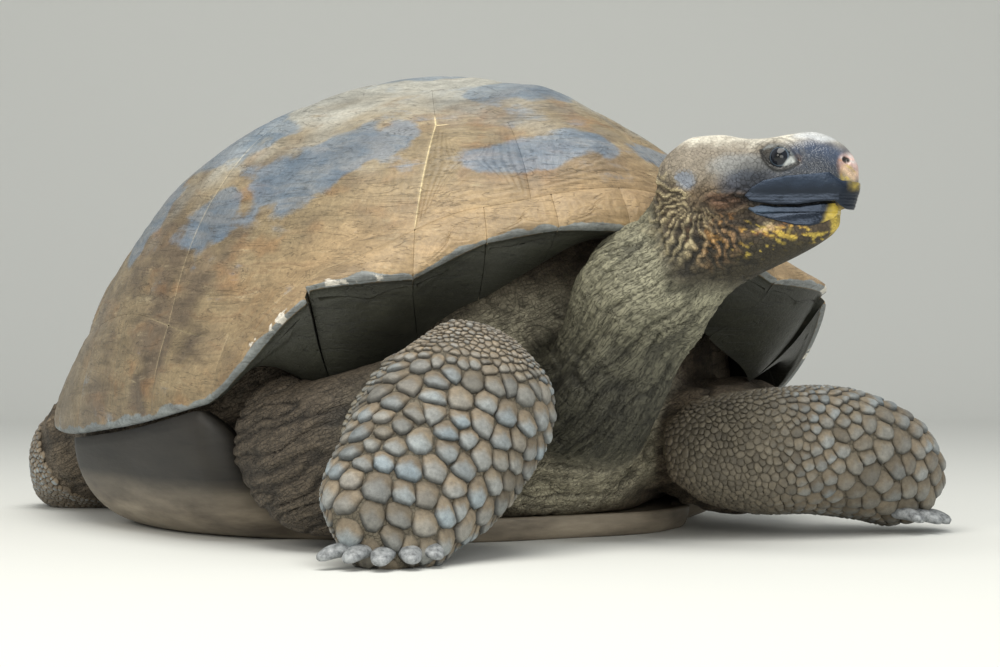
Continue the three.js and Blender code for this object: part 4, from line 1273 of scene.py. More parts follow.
def wrinkles(points):
    """How far the skin is pushed out, in mm, and how much each point lies in a crease."""
    head_share, neck_share, chest, arm = regions(points)
    push = 1.2 * noise(points, 42, 21) + 0.3 * noise(points, 13, 22)
    warp = lambda size, seed: np.stack([noise(points, size, seed + i) for i in range(3)], -1)
    warped = points + 8 * warp(50, 30) + 1.8 * warp(15, 34)
    down, angle, _ = along_limb(warped, NECK)
    lean = angle * NECK_RADIUS + 0.3 * down
    upper = smooth(points[:, 2], 230, 330)
    long = crumple(lean / 12, down / 120, 41, 0.18, points)
    short = crumple(lean / 6.5, down / mix(34, 26, upper), 42, 0.24, points)
    across = crumple(lean / 44, down / 8, 46, 0.2, points)
    flat_noise = lambda a, b, seed: noise(np.stack([a, b, np.zeros_like(a)], -1), 1.0, seed)
    raised = hump(flat_noise(lean / 34, down / 9, 48), 0.12)
    drape = flat_noise(lean / 26, down / 150, 49)
    neck = 3.6 * (long - 0.75) + 1.7 * (short - 0.75) + 3.0 * drape
    neck = neck + mix(1.3, 0.9, upper) * (across - 0.75 + 0.7 * raised)
    x, y, z = warped.T
    folds = crumple(x / 34, z / 20, 43, 0.2, points)
    small = crumple(x / 15, (z - 0.4 * y) / 9, 44, 0.26, points)
    chest_push = 5.0 * (folds - 0.75) + 2.6 * (small - 0.75)
    run, gap = warped @ CREASE_RUN, warped @ CREASE_GAP
    creases = crumple(gap / 11, run / 75, 45, 0.26, points)
    arm_push = 3.4 * (creases - 0.75) + 0.5 * (small - 0.75)
    local = to_head(warped)
    jowl = crumple(local[:, 2] / 5.5, local[:, 0] / 18, 47, 0.28, points)
    jowl_share = head_share * smooth(30 - local[:, 2], 0, 20) * smooth(110 - local[:, 0], 0, 20)
    total = push * (1 - 0.8 * head_share) + neck * neck_share + chest_push * chest
    total = total + arm_push * arm + 1.3 * (jowl - 0.75) * jowl_share
    neck_open = long * mix(0.35, 1, short) * mix(0.55, 1, across) * (0.88 + 0.12 * raised)
    sunk = neck_share * (1 - neck_open) + chest * (1 - folds * mix(0.5, 1, small))
    sunk = sunk + arm * (1 - creases * mix(0.75, 1, small)) + jowl_share * (1 - jowl)
    return total, np.clip(sunk, 0, 1)


# %% [markdown]
# ## Markings
# One function colours the hide and every scale on it, so that both carry the same markings: grey-olive
# neck, brown arms, blue-grey snout, pink nose and yellow-orange chin. It also lays in painted shade on the
# lower neck and in the face's grooves, and painted light on the pale crown.

# %% Markings of hide and scales
HIDE = {name: linear(code) for name, code in dict(
    olive=0x8E8B75, brown=0x6E6252, chest=0xB6AF97, taupe=0x857C6E, leg=0x635C4E, crown=0xDCD7C8,
    cheek=0x6A5B48, temple=0x8F9190, snout=0x3A4860, lilac=0xBAC0C6, pink=0xE6C3B8, orange=0xBE7F45,
    yellow=0xC4AC4C, throat=0x342F22, cream=0xC2B48E, dark=0x14120F, ear=0x7C8796, red=0x7A4C3A,
    white=0xC4C8C6, lid=0x93A0A8, near_mouth=0x1B222C).items()}


def patch(local, u, w, reach_u, reach_w, soft=0.35):
    """1 inside an ellipse of the head's side view and 0 outside, with a soft edge."""
    far = np.hypot((local[:, 0] - u) / reach_u, (local[:, 2] - w) / reach_w)
    return 1 - smooth(far, 1 - soft, 1 + soft)


def markings_and_painted_light(points):
    """Linear colour of the animal at each point, with painted shade on the lower neck and in the face's
    grooves, and painted light on its pale crown.
    """
    head_share, neck_share, chest, arm = regions(points)
    tint = np.broadcast_to(HIDE["brown"], points.shape)
    tint = covered(tint, HIDE["leg"], smooth(-points[:, 1], 380, 460))
    tint = covered(tint, HIDE["chest"], chest)
    tint = covered(tint, HIDE["olive"], neck_share)
    # Painted shade: the neck darkens towards its base and its right side, where legs and shell shade it.
    lit = smooth(points[:, 2] + 0.35 * points[:, 0], 165, 305) * neck_share + (1 - neck_share)
    tint = tint * mix(0.26, 1.0, lit)[:, None]
    right_arm = arm * smooth(-points[:, 1], 120, 220) * smooth(-points[:, 0], 150, 230)
    tint = tint * (1 - 0.42 * right_arm)[:, None]
    local = to_head(points + 3.5 * np.stack([noise(points, 16, 50 + i) for i in range(3)], -1))
    u, side, w = local[:, 0], np.abs(local[:, 1]), local[:, 2]
    face = covered(HIDE["cheek"], HIDE["taupe"], smooth(w, 4, 26))
    # The top of the head is pale: partly its own colour and partly painted light from above.
    face = covered(face, HIDE["crown"], smooth(w + 5 * noise(points, 9, 60), 52, 74))
    face = covered(face, HIDE["throat"], smooth(-w, 30, 56))
    streak = np.stack([(u - 0.5 * w) / 9, side / 5, (w + 0.5 * u) / 3.4], -1)
    speck = smooth(noise(streak, 1.0, 61) + 0.6 * noise(points, 8, 62), -0.05, 0.4)
    rare = smooth(noise(streak * 1.1, 1.0, 63) + 0.4 * noise(points, 14, 64), 0.2, 0.55)
    mottled = 0.8 + 0.3 * noise(points, 5, 67)
    spots = [
        ("temple", patch(local, 84, 34, 34, 15), 0.8), ("snout", patch(local, 164, 30, 46, 34, 0.3), 1.0),
        ("snout", patch(local, 100, 16, 42, 13), 0.7), ("lilac", patch(local, 162, 72, 26, 9), 0.7),
        ("ear", patch(local, 18, 20, 11, 11), 0.75), ("red", patch(local, 66, -4, 22, 9), 0.35),
        ("dark", patch(local, 82, -28, 20, 14), 0.6), ("dark", patch(local, 132, -33, 52, 17, 0.3), 0.55),
        ("orange", patch(local, 128, -38, 30, 9) * speck, 0.85),
        ("yellow", patch(local, 148, -42, 36, 9) * speck, 0.8),
        ("cream", patch(local, 110, -33, 16, 6) * speck, 0.6),
        ("yellow", patch(local, 88, -46, 46, 22) * rare, 0.75),
        ("orange", patch(local, 54, -40, 34, 22) * rare, 0.6),
        ("yellow", patch(local, 185, -28, 9, 16, 0.25), 0.95),
        ("pink", patch(local, 203, 36, 15, 16, 0.3) * mottled, 0.95),
        ("white", patch(local, 200, 44, 8, 7, 0.5) * speck, 0.6),
        ("yellow", patch(local, 196, 23, 8, 10) * mix(0.4, 1, speck), 0.85),
        ("orange", patch(local, 190, 33, 4, 9) * mix(0.3, 1, speck), 0.8),
        ("orange", patch(local, 145, 39, 5, 7) * mix(0.3, 1, speck), 0.85),
    ]
    for name, share, strength in spots:
        face = covered(face, HIDE[name], np.clip(share, 0, 1) * strength)
    near_mouth = patch(local, 148, 18, 72, 32, 0.45) * (1 - smooth(u, 186, 194))
    face = covered(face, HIDE["near_mouth"], near_mouth * 0.85)
    flank = smooth(side, 10, 26)
    exact = to_head(points)
    ridge, share = fan(exact[:, 0], exact[:, 2], fan_waver(exact[:, 0], side, exact[:, 2]))
    share = share * flank
    hue = covered(HIDE["cream"], HIDE["orange"], 0.6 * smooth(u - 0.4 * w, 44, 84))
    face = covered(face, hue, ridge * share * (0.75 + 0.25 * noise(points, 9, 66)))
    # Painted shade in the grooves between the fan's ridges.
    face = face * (1 - 0.6 * (1 - ridge) * share)[:, None]
    # Painted shade in the groove beside each fold at the mouth's corner.
    for stops in CORNER_FOLDS:
        face = face * (1 - 0.5 * hump(polyline_distance(u, w, stops) - 4.6, 1.4) * flank)[:, None]
    lid, along, rise = lid_distance(u, w)
    at_eye = smooth(side, 20, 30)
    opening = smooth(-lid, -0.5, 1.0) * at_eye
    edge = hump(lid - 1.0, 1.5) * at_eye * np.where(rise > 0, 0.5, 0.15)
    face = covered(face, HIDE["lid"], edge)
    face = covered(face, HIDE["white"], opening * smooth(along, 2, 9))
    face = covered(face, HIDE["dark"], opening * smooth(-along, 4, 9) * 0.8)
    # A dark line along the lids' edge, strongest below, and painted shade in the two creases above the
    # eye.
    line = 1.2 * hump(lid - 2.2, 2.6) * np.where(rise < 2, 1, 0.35)
    line = line + 0.4 * (hump(lid - 10.2, 1.3) + hump(lid - 14.5, 1.3)) * (rise > 0)
    face = covered(face, HIDE["dark"], np.clip(line, 0, 1) * at_eye)
    # Painted shade along the groove of the mouth.
    lips = hump(polyline_distance(u, w, MOUTH[1:]), 3.5) * smooth(side, 0, 6)
    face = covered(face, HIDE["dark"], lips * 0.9)
    # Painted shade inside the nostrils.
    face = covered(face, HIDE["dark"], 1 - smooth(from_nostril(u, side, w), 4.8, 6.4))
    tint = covered(tint, face, head_share)
    tint = covered(tint, HIDE["cream"], 0.5 * ridge * share * (1 - head_share))
    return tint * (1 + 0.12 * noise(points, 70, 71) + 0.08 * noise(points, 9, 72))[:, None]


def snout_gloss(points):
    """1 on the smooth horny skin of the snout and nose, 0 elsewhere."""
    local = to_head(points)
    return patch(local, 164, 32, 52, 42, 0.25)


# %% The hide's mesh
push, sunk = wrinkles(skin_points)
skin_normals = skin_normal(skin_points)
hide_points = skin_points + skin_normals * push[:, None]
floor_flat, above_floor = skin_points[:, 2] < 0.6, np.maximum(hide_points[:, 2], 0.3)
hide_points[:, 2] = np.where(floor_flat, skin_points[:, 2], above_floor)
_, neck_share, chest, arm = regions(skin_points)
# Painted shade: the hide's colour is darkened in its creases, by how deep in them a point lies.
tints = markings_and_painted_light(skin_points) * (1 - 0.62 * sunk)[:, None]
hide_mesh = mesh_from("hide", hide_points, skin_faces, {
    "tint": tints, "net": neck_grain(skin_points), "fold": fold_grain(skin_points),
    "region": np.stack([snout_gloss(skin_points), neck_share, np.maximum(arm, chest)], -1)})

# %% [markdown]
# ## Hide material
# Dry reptile skin is matt, with granules of 4 to 6 mm and patchy dust; the creases and the borders between
# granules are darkened as painted shade. Granules and the finest creases are bump; every larger fold is in
# the mesh. The snout is smoother and glossier.

# %% Granular hide
m = Paint("reptile_hide_dry_granular")
glossy, on_neck, loose = m.split(m.attribute("region"))
dust = m.fractal(70.0, 6.0, 0.65)
pebbles = m.ranged(m.cells(170.0, 0.9), 0.0, 0.16)
pebbles = m.ranged(m.ranged(m.sums("MAXIMUM", on_neck, glossy), end=0.8), start=pebbles)
granules = m.ranged(m.cells(260.0), 0.0, 0.25, 0.0, 0.4)
grains = m.bump(m.sums("ADD", pebbles, granules), 0.7, 0.0009)


def creases(vector, scale, share, reach):
    """0 in thin wandering creases and 1 between them, faded out where the share is small."""
    flat = m.eased(m.wandering(scale, 2.0, 0.55, vector, 0.5), 0.0, reach)
    return m.ranged(share, start=1.0, end=flat)


creased = m.product(
    creases(m.attribute("net"), 2.4, on_neck, 0.05), creases(m.attribute("fold"), 2.6, loose, 0.045))
# Painted shade in the creases and between the granules.
shade = m.ranged(m.product(pebbles, creased), start=0.66, end=1.08)
hide = m.finish(
    Base_Color=m.scaled(m.attribute("tint"), m.product(m.ranged(dust, 0.3, 0.7, 0.7, 1.3), shade)),
    Roughness=m.ranged(glossy, start=0.66, end=0.3), IOR=m.ranged(glossy, start=1.45, end=1.7),
    Normal=m.bump(creased, 0.9, 0.0018, Normal=grains))

LEGS = [f"{leg}_{side}" for leg in ("foreleg", "hindleg") for side in "lr"]
FLESH_NODES = ["head", "neck", "trunk", "tail"] + [
    f"{leg}_{part}" for leg in LEGS for part in ("lower", "upper")]
piece("hide", hide_mesh, hide, FLESH_NODES)

# %% [markdown]
# ## Scales
# Each scale is a small domed polygon of horn. Seeds are spread over the skin, closer where the
# scales are small; a scale reaches halfway to each neighbour, less a gap. Its free lower edge
# stands up and overlaps the next row, and its skirt goes down into the skin, so it is closed.

# %% Spreading seeds
def scatter(count, wanted, seed):
    """Random points over the skin's faces, where wanted says so, chosen by the faces' areas."""
    rng = np.random.default_rng(seed)
    corners = skin_points[np.maximum(skin_faces[:, :4], 0)]
    share = wanted(corners.mean(1))
    faces = np.flatnonzero(share)
    a, b, c, d = (corners[faces, i] for i in range(4))
    area = np.linalg.norm(np.cross(c - a, d - b), axis=1)
    pick = rng.choice(len(faces), count, p=area / area.sum())
    s, t = rng.random((2, count, 1))
    points = mix(mix(a[pick], b[pick], s), mix(d[pick], c[pick], s), t)
    return onto_skin(points, 2)


def spread_seeds(candidates, spacing):
    """Picks the candidate farthest from all seeds, measured in its own spacing, until none is
    farther than one spacing."""
    places = candidates.astype(np.float32)
    far = np.full(len(places), 1e9, np.float32)
    need = 1 / np.square(spacing.astype(np.float32))
    chosen = []
    while True:
        i = int((far * need).argmax())
        if far[i] * need[i] < 1:
            return np.array(chosen)
        chosen.append(i)
        far = np.minimum(far, ((places - places[i]) ** 2).sum(1))


# %% Scale shapes
RING_SHARES = np.array([0.45, 0.8, 0.955, 1.0, 1.0])
SIDES = 12
SKIRT = 1.6  # mm that a scale's last ring lies below the skin


def scale_bodies(seeds, spacing, height, down, gap, seed, overlap=0.0):
    """For every seed, SIDES directions in its tangent plane: the outline's radius is the nearest
    bisector to a neighbour, weighed by size, softened. Rings at shares of that radius rise by
    a dome 1 - t^3.4 that leans towards the free edge, and the last ring sinks into the skin."""
    n = len(seeds)
    normal = skin_normal(seeds, 5.0)
    fall = unit(down - normal * np.sum(down * normal, 1)[:, None])
    side = np.cross(normal, fall)
    gaps = ((seeds[:, None] - seeds[None]) ** 2).sum(-1)
    near = np.argsort(gaps, axis=1)[:, 1:17]
    to = seeds[near] - seeds[:, None]
    flat = np.stack([np.sum(to * fall[:, None], -1), np.sum(to * side[:, None], -1)], -1)
    psi = np.arange(SIDES) * 2 * np.pi / SIDES
    ray = np.stack([np.cos(psi), np.sin(psi)], -1)
    ahead = np.einsum("nkc,jc->njk", flat, ray)
    weight = 0.25 * np.square(spacing)
    size = (flat**2).sum(-1) + weight[:, None] - weight[near]
    reach = np.where(ahead > 1e-3, size[:, None] / (2 * np.maximum(ahead, 1e-3)), 1e9)
    reach = np.minimum(reach.min(-1), spacing[:, None] * 1.1)
    reach = np.maximum(reach - gap[:, None] / 2, spacing[:, None] * 0.15)
    blurred = (np.roll(reach, 1, 1) + 2 * reach + np.roll(reach, -1, 1)) / 4
    reach = np.minimum(reach * 1.02, mix(reach, blurred, 0.5))
    rng = np.random.default_rng(seed)
    lean = 0.35 + (0.35 + overlap) * rng.random(n) + overlap
    reach = reach * (1 + overlap * smooth(np.cos(psi), 0.1, 0.9))
    t = RING_SHARES[:, None]
    across = reach[:, None, :] * t
    x, y = (across * np.cos(psi))[..., None], (across * np.sin(psi))[..., None]
    points = seeds[:, None, None] + x * fall[:, None, None] + y * side[:, None, None]
    rise = (1 - t**3.4) * 0.6 + 0.34
    rise = rise + lean[:, None, None] * (t * np.cos(psi)) * (1 - 0.5 * t**3)
    rise = rise * height[:, None, None]
    rise[:, 3] = rise[:, 3] * 0.35
    rise[:, 4] = -SKIRT
    flat_points = points.reshape(-1, 3)
    flat_normal = np.repeat(normal, len(RING_SHARES) * SIDES, 0)
    flat_points = flat_points - flat_normal * skin_distance(flat_points)[:, None]
    flat_points = flat_points + flat_normal * rise.reshape(-1, 1)
    top = seeds + normal * (height * 0.94 - skin_distance(seeds))[:, None]
    bottom = seeds - normal * 2.0
    return np.concatenate([flat_points.reshape(n, -1, 3), top[:, None], bottom[:, None]], 1), psi


def scale_mesh(name, seeds, spacing, height, down, gap, seed, unwrap, polish, overlap=0.0, crease=0.6):
    """One joined mesh of closed scales, with their tint and a small patch each in OFBake."""
    n, rings = len(seeds), len(RING_SHARES)
    points, psi = scale_bodies(seeds, spacing, height, down, gap, seed, overlap)
    points[..., 2] = np.maximum(points[..., 2], 0.3)
    per = rings * SIDES + 2
    one = np.vstack([
        band_faces(rings, SIDES),
        cap_faces(np.arange(SIDES), rings * SIDES, False),
        cap_faces(np.arange(SIDES) + (rings - 1) * SIDES, rings * SIDES + 1, True),
    ])
    one = outward(points[0], one)
    faces = (one[None] + (one >= 0) * (np.arange(n) * per)[:, None, None]).reshape(-1, 4)
    rng = np.random.default_rng(seed + 1)
    shade = 1 + (0.25 if crease > 0.5 else 0.1) * (2 * rng.random(n) - 1)
    t = np.concatenate([np.repeat(RING_SHARES, SIDES), [0, 1]])
    turn = np.concatenate([np.tile(np.cos(psi), rings), [0, 0]])
    # Scales high on the right side take the lighter horn colour, more the higher they lie.
    high_on_right = smooth(seeds[:, 2], 175, 235) * smooth(-seeds[:, 0], 100, 160) * (crease > 0.5)
    tint = mix(markings_and_painted_light(seeds), HORNY, np.maximum(0.65 * polish, 0.85 * high_on_right)[:, None])
    tint = tint[:, None, :] * shade[:, None, None]
    worn = smooth(0.5 - 0.35 * t + 0.75 * t * turn, 0.15, 0.7)
    worn = worn * (0.3 + 0.7 * rng.random((n, 1))) * polish[:, None]
    tint = mix(tint, SLATE_SCALE * shade[:, None, None], worn[..., None])
    # Painted shade: each scale is darkened towards its rim, most along its free lower edge, by the crease
    # strength.
    rim = smooth(t, 0.86, 1.0)
    tint = tint * (1 - crease * rim * (0.4 + 0.6 * smooth(turn, -0.6, 0.4)))[None, :, None]
    where = unwrap(seeds)
    angles = np.concatenate([np.tile(psi, rings), [0, 0]])
    uv = where[:, None, :] + 0.0014 * t[:, None] * np.stack([np.cos(angles), np.sin(angles)], -1)
    attributes = {"tint": tint.reshape(-1, 3), "worn": worn.reshape(-1)}
    mesh = mesh_from(name, points.reshape(-1, 3), faces, attributes)
    layer = mesh.uv_layers.new(name="OFBake")
    corners = np.empty(len(mesh.loops), np.int32)
    mesh.loops.foreach_get("vertex_index", corners)
    layer.data.foreach_set("uv", uv.reshape(-1, 2)[corners].astype(np.float32).ravel())
    print(f"{name}: {n} scales, {len(faces)} faces")
    return mesh


SLATE_SCALE = linear(0x8D9BA3)
HORNY = linear(0x8C7D68)

# %% [markdown]
# ## Horn of the scales
# Thick keratin, brown at the root and polished blue-grey where a scale's crown rubs on the
# ground, so the crown is a little glossier than the skirt.

# %% Scale horn
m = Paint("keratin_scales_polished_crowns")
mottle, grit = m.fractal(150.0, 6.0, 0.7), m.fractal(600.0, 3.0, 0.6)
scale_horn = m.finish(
    Base_Color=m.scaled(m.attribute("tint"), m.ranged(mottle, 0.3, 0.7, 0.68, 1.3)),
    Roughness=m.ranged(m.attribute("worn", "Fac"), start=0.62, end=0.42),
    Normal=m.bump(m.sums("ADD", mottle, grit), 0.5, 0.0012))


# %% Scales of the legs
def limb_unwrap(stations, across=(1, 0, 0)):
    """The skin of a limb rolled out flat: the angle round it, and the share along it."""
    def unwrap(points):
        _, angle, share = along_limb(points, stations, across)
        level = np.clip(0.03 + 0.94 * share, 0.01, 0.99)
        return np.stack([0.5 + angle / (2 * np.pi) * 0.96, level], -1)
    return unwrap


TRIES = 40000  # random places from which the seeds of one coat are chosen
BREADTH = 1.35  # the size a scale is given, over the spacing its seed was chosen by


def coat(name, wanted, sizes, depth, down, seed, stations, polish,
         overlap=0.2, crease=0.6):
    """Spreads seeds by the size wanted at each place and builds one joined mesh of scales."""
    tries = scatter(TRIES, wanted, seed)
    spacing = sizes(tries) * (0.55 + 0.75 * lattice(np.floor(tries * 0.7), seed))
    chosen = spread_seeds(tries, spacing)
    seeds, spacing = tries[chosen], spacing[chosen] * BREADTH
    mesh = scale_mesh(
        name, seeds, spacing, depth(spacing), down(seeds), 0.05 * spacing + 0.3, seed,
        limb_unwrap(stations), polish(seeds), overlap, crease)
    piece(name, mesh, scale_horn)


FRONT = np.array([-0.45, -0.88, 0.1])


def forearm_wanted(side):
    """The forearm from the elbow down, where it is not the upper arm's or the neck's skin."""
    def wanted(points):
        own = part_distance("forearm_" + side, points)
        lower = (own < 7) & (own < part_distance("arm_" + side, points) + 3)
        return lower & (part_distance("neck", points) > 7) & (points[:, 2] > 2)
    return wanted


def right_leg_sizes(points):
    facing = smooth(skin_normal(points, 5) @ FRONT, -0.05, 0.5)
    lower = smooth(250 - points[:, 2] - 0.25 * (points[:, 0] + 262), 6, 62)
    from_arm = smooth(part_distance("arm_r", points) - part_distance("forearm_r", points), 0, 30)
    return mix(7.5, 34.0, facing * lower * from_arm)


def falling(lean):
    return lambda points: np.broadcast_to(np.array(lean, float), points.shape)


def leg_polish(points):
    low = smooth(235 - points[:, 2], 0, 60)
    return (0.4 + 0.6 * smooth(noise(points, 50, 81), -0.4, 0.5)) * mix(0.4, 1, low)


coat("scales_foreleg_r", forearm_wanted("r"), right_leg_sizes, lambda s: 1.0 + 0.2 * s,
     falling((-0.35, -0.1, -1)), 101, FORELEG_R, leg_polish)


def left_leg_sizes(points):
    facing = smooth(skin_normal(points, 5) @ np.array([0.1, -1, 0.0]), 0.0, 0.5)
    outer = smooth(points[:, 0], 150, 350)
    below_top = smooth(190 - points[:, 2], 0, 60)
    return mix(8.3, 33.0, outer * facing * mix(0.4, 1, below_top))


coat("scales_foreleg_l", forearm_wanted("l"), left_leg_sizes, lambda s: 1.0 + 0.17 * s,
     falling((0.4, 0, -1)), 102, FORELEG_L, lambda p: 0.8 * leg_polish(p) * smooth(p[:, 0], 150, 290))


def hind_wanted(side):
    return lambda p: (part_distance("foot_" + side, p) < 7) & (p[:, 1] > 400) & (p[:, 2] > 2)


def hind_sizes(points):
    return mix(8.0, 18.0, smooth(skin_normal(points, 5) @ np.array([0, 0.8, -0.2]), 0, 0.7))


for side, turn, sign, seed in (("l", list, 1, 103), ("r", other_side, -1, 104)):
    coat(f"scales_hindleg_{side}", hind_wanted(side), hind_sizes, lambda s: 1.0 + 0.14 * s,
         falling((0.2 * sign, 0.6, -1)), seed, turn(HINDLEG), leg_polish)

TAIL_LINE = np.array(TAIL[1:], float)[:, :3]
coat("scales_tail", lambda p: (near_line(p, TAIL_LINE, 1) < 60) & (p[:, 1] > 455) & (p[:, 2] > 1),
     lambda p: mix(9.0, 5.0, smooth(p[:, 1], 460, 560)), lambda s: 0.6 + 0.1 * s,
     falling((0.1, 1, -0.4)), 105, TAIL, leg_polish)


# %% Scales of the head
def head_wanted(points):
    """The crown, temples and brow; the rest of the face is bare wrinkled or horny skin."""
    local = to_head(points)
    u, side, w = local[:, 0], np.abs(local[:, 1]), local[:, 2]
    lid, _, _ = lid_distance(u, w)
    eye = (lid < 17 + 3 * noise(points, 9, 90)) & (side > 20)
    lower = (w < mix(2, 34, smooth(u, 60, 110)) + 5 * noise(points, 14, 91))
    nape = u < 4 + 0.5 * np.maximum(30 - w, 0)
    return (w > -8) & ~eye & ~lower & ~nape & (u < 142 + 6 * noise(points, 8, 94))


def head_sizes(points):
    local = to_head(points)
    return mix(4.2, 5.6, smooth(local[:, 2], 30, 60))


head_stations = [[*from_head(np.array([u, 0, 5.0])), 50, 50] for u in (-40, 60, 160, 210)]
coat("scales_head", head_wanted, head_sizes, lambda s: 0.2 + 0.02 * s, falling(-HEAD_AXES[0]), 106,
     head_stations, lambda p: np.zeros(len(p)), overlap=0.0, crease=0.16)

# %% [markdown]
# ## Beak
# Two sheaths of dark horn cover the jaws. Each is the head's own form, grown by the thickness of
# the horn and cut to an outline in side view, as a field of its own.

# %% Beak sheaths
UPPER_BEAK = [(86, 1), (94, 10), (108, 18), (132, 23), (158, 25), (178, 27), (190, 18), (230, 14),
              (230, -2), (206, -10), (200, -14.5), (194, -14), (188, -10), (183, -5), (164, -6),
              (143, -9), (118, -9), (92, -5)]
LOWER_BEAK = [(82, -10), (84, -6), (92, -6.5), (118, -10.5), (143, -10.5), (164, -7.5),
              (183, -6.5), (187, -14), (180, -24), (170, -29), (156, -33), (140, -32), (117, -26),
              (98, -20)]
BEAK_PROUD = 0.5
UPPER_LEVEL, LOWER_LEVEL = 4.0, -17.0  # below and above these heights the sheaths run straight


def outline_distance(u, w, outline):
    """Distance to a closed outline in side view, negative inside by the crossing rule."""
    stops = outline + outline[:1]
    best = polyline_distance(u, w, stops)
    inside = np.zeros(best.shape, bool)
    for (u0, w0), (u1, w1) in zip(stops, stops[1:]):
        crosses = (w0 > w) != (w1 > w)
        inside ^= crosses & (u < (u1 - u0) * (w - w0) / ((w1 - w0) or 1e-9) + u0)
    return np.where(inside, -best, best)


def beak_mesh(name, outline, tint_of, upper):
    """The head's form, grown; towards the mouth the section of one level is kept, so that the
    two sheaths meet in a thin line. The outline's distance cuts it, rounded over 1.6 mm."""
    low, shape = np.array([64, -60, -44]), (150, 121, 80)  # a grid of one millimetre
    grid = lambda rings: distance_grid(closed_tube(rings), low * 1.0, shape, 1.0)
    form = softened(softened(fuse(grid(head_loft(CRANIUM)), grid(head_loft(JAW)), 4)))
    u, w = (low[i] + np.arange(shape[i], dtype=np.float32) for i in (0, 2))
    level = int((UPPER_LEVEL if upper else LOWER_LEVEL) - low[2])
    if upper:
        for below in range(level):
            form[:, :, below] = np.roll(form[:, :, level], -int(round(0.3 * (level - below))), axis=0)
    else:
        form[:, :, level:] = form[:, :, level:level + 1] + 0.5
    flat = outline_distance(u[:, None], w[None, :], outline)[:, None, :]
    flat = np.broadcast_to(flat, shape)
    cut = -fuse(-(form - BEAK_PROUD), -flat.astype(np.float32), 1.6)
    made = openvdb.FloatGrid(10.0)
    made.copyFromArray(np.ascontiguousarray(cut.astype(np.float32)))
    points, quads = made.convertToQuads(0.0)
    points, quads = largest_body(np.asarray(points, float) + low, np.asarray(quads, np.int64))
    world = from_head(points)
    quads = outward(world, quads)
    mesh = mesh_from(name, world, quads, {"tint": tint_of(points)})
    print(f"{name}: {len(quads)} faces")
    return mesh


def upper_tint(points):
    u, w = points[:, 0], points[:, 2]
    ragged = w + 3 * noise(points, 12, 92)
    tint = covered(linear(0x1E2734), linear(0x090B0F), smooth(19 - ragged, 0, 15))
    drip = smooth(u, 194, 203) * smooth(ragged, 3, 13) * (0.6 + 0.4 * noise(points, 4, 93))
    return covered(tint, HIDE["yellow"], np.clip(drip, 0, 1) * 0.8)


def lower_tint(points):
    u, w = points[:, 0], points[:, 2]
    # A painted bluish highlight along the upper part of the lower sheath, on near-black horn.
    tint = covered(linear(0x0F1319), linear(0x3F4C5A), hump(w + 15, 5) * smooth(-u, -150, -96))
    tint = covered(tint, HIDE["dark"], smooth(96 - u, 0, 14))
    tip = smooth(u - 0.4 * (w + 20) + 2 * noise(points, 5, 94), 168, 178)
    return covered(tint, HIDE["yellow"], tip)


m = Paint("keratin_beak_smooth_dark_gloss")
streaks = m.fractal(1.5, 5.0, 0.6, m.stretched(60, 60, 160))
relief = m.sums("MULTIPLY_ADD", m.fractal(90.0, 3.0, 0.5), 2.0, streaks)
beak_horn = m.finish(
    Base_Color=m.scaled(m.attribute("tint"), m.ranged(streaks, 0.3, 0.7, 0.7, 1.35)),
    Roughness=0.24, IOR=1.62, Specular_Tint=rgba(0xC2D4F2), Normal=m.bump(relief, 0.35, 0.0014))
for jaw, outline, tint_of in (("upper", UPPER_BEAK, upper_tint), ("lower", LOWER_BEAK, lower_tint)):
    name = f"beak_{jaw}_horn"
    sheath = beak_mesh(name, outline, tint_of, jaw == "upper")
    piece(name, sheath, beak_horn, [f"beak_{jaw}"])

# %% [markdown]
# ## Eyes
# A wet globe: a black pupil in a very dark iris, a blue-grey ring where the white begins, and a
# cornea that bulges a little. Colours depend on the angle from the gaze.

# %% Eyeballs
def eye_mesh(side):
    """A sphere on its gaze axis, rings by angle from the gaze; the cornea adds a small bulge of
    a cosine squared inside 40 degrees."""
    gaze = unit(np.array([-0.10, side * 1.0, 0.10]))
    right = unit(np.cross(gaze, [0, 0, 1.0]))
    top = np.cross(right, gaze)
    angle = np.radians(np.linspace(1.5, 178.5, 60))[:, None]
    turn = np.linspace(0, 2 * np.pi, 64, endpoint=False)
    bulge = 0.9 * np.where(angle < np.radians(40), np.cos(angle / np.radians(40) * np.pi / 2) ** 2, 0)
    r = EYE_RADIUS - 0.3 + bulge
    rings = (r * np.cos(angle))[..., None] * gaze
    rings = rings + (r * np.sin(angle) * np.cos(turn))[..., None] * right
    rings = rings + (r * np.sin(angle) * np.sin(turn))[..., None] * top
    points, faces = closed_tube(rings + [EYE_U, side * EYE_V, EYE_W])
    degrees = np.degrees(np.concatenate([np.repeat(angle, 64), [0, np.pi]]))
    iris = covered(linear(0x07090C), linear(0x121720), smooth(degrees, 14, 22))
    ball = covered(iris, linear(0x4C5864), smooth(degrees, 40, 43))
    ball = covered(ball, linear(0x2A3036), smooth(degrees, 46, 51))
    corner = smooth(0.8 * (points[:, 0] - EYE_U) - 0.6 * (points[:, 2] - EYE_W), 7, 10)
    ball = covered(ball, HIDE["white"], corner)
    world = from_head(points)
    return mesh_from(f"eyeball_{side}", world, outward(world, faces), {"tint": ball})


m = Paint("cornea_wet_clear_over_dark_iris")
veins = m.ranged(m.fractal(500.0, 4.0), start=0.8, end=1.2)
eye_wet = m.finish(
    Base_Color=m.scaled(m.attribute("tint"), veins), Roughness=0.08, IOR=1.36,
    Coat_Weight=0.35, Coat_Roughness=0.03)
for side, suffix in ((1, "l"), (-1, "r")):
    piece(f"eyeball_{suffix}", eye_mesh(side), eye_wet, [f"eye_{suffix}"])

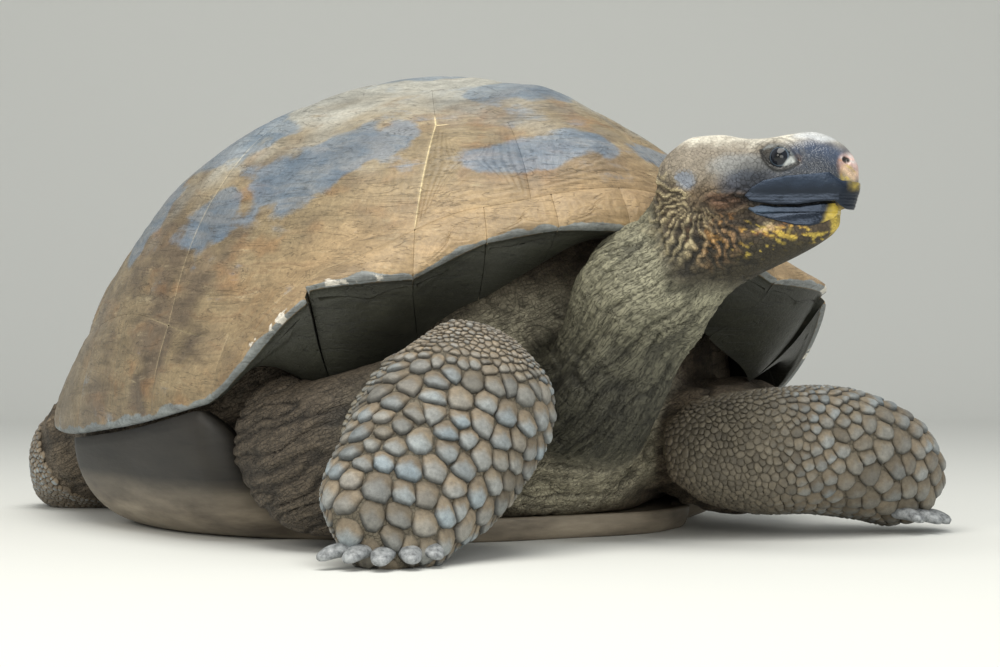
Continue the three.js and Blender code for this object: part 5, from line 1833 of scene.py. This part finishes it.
# %% [markdown]
# ## Claws
# Blunt nails, worn flat by walking: a profile of shrinking ovals carried along a drooping arc.

# %% Claws
CLAW_LENGTH, CLAW_RADIUS = 26.0, 11.0
CLAW_PROFILE = [(-0.6, 0, 1), (-0.2, 0.3, 1.05), (0.2, 1.5, 1.0), (0.55, 4, 0.86),
                (0.8, 6.5, 0.66), (0.92, 8, 0.4)]
CLAWS = {
    "foreleg_r": [[-326, -582, 20, -8], [-356, -592, 18, -22], [-386, -588, 17, -38],
                  [-404, -568, 19, -58], [-418, -548, 20, -80]],
    "foreleg_l": [[382, -528, 26, 10], [408, -527, 23, 26], [431, -516, 21, 46],
                  [446, -499, 21, 66], [451, -478, 22, 86]],
    "hindleg_l": [[288, 538, 17, 158], [265, 541, 17, 168], [241, 536, 17, 178], [218, 529, 17, 190]],
}
CLAWS["hindleg_r"] = [[-x, y, z, -heading] for x, y, z, heading in CLAWS["hindleg_l"]]

m = Paint("keratin_nail_ground_blunt")
fibres = m.fractal(140.0, 6.0, 0.65)
claw_horn = m.finish(
    Base_Color=m.ramp(fibres, 0x4A4D50, 0xB4B8BA, 0.3, 0.72), Roughness=0.42,
    Normal=m.bump(fibres, 0.4, 0.001))


def claw_rings(x, y, z, heading):
    """Ovals along a nail: each at a share of its length, dropped by mm and sized by a share."""
    a = np.radians(heading)
    stations = []
    for share, drop, size in CLAW_PROFILE:
        d, r = share * CLAW_LENGTH, CLAW_RADIUS * size
        stations.append([x + np.sin(a) * d, y - np.cos(a) * d, z - drop, r * 1.12, r * 0.66])
    return loft(stations, power=2.2, steps=18, around=20)


for foot, claws in CLAWS.items():
    all_points, all_faces, count = [], [], 0
    for row in claws:
        points, faces = closed_tube(claw_rings(*row))
        points[:, 2] = np.maximum(points[:, 2], 0.2)
        faces = outward(points, faces)
        all_points.append(points)
        all_faces.append(np.where(faces < 0, -1, faces + count))
        count += len(points)
    mesh = mesh_from(f"claws_{foot}", np.vstack(all_points), np.vstack(all_faces))
    piece(f"claws_{foot}", mesh, claw_horn)
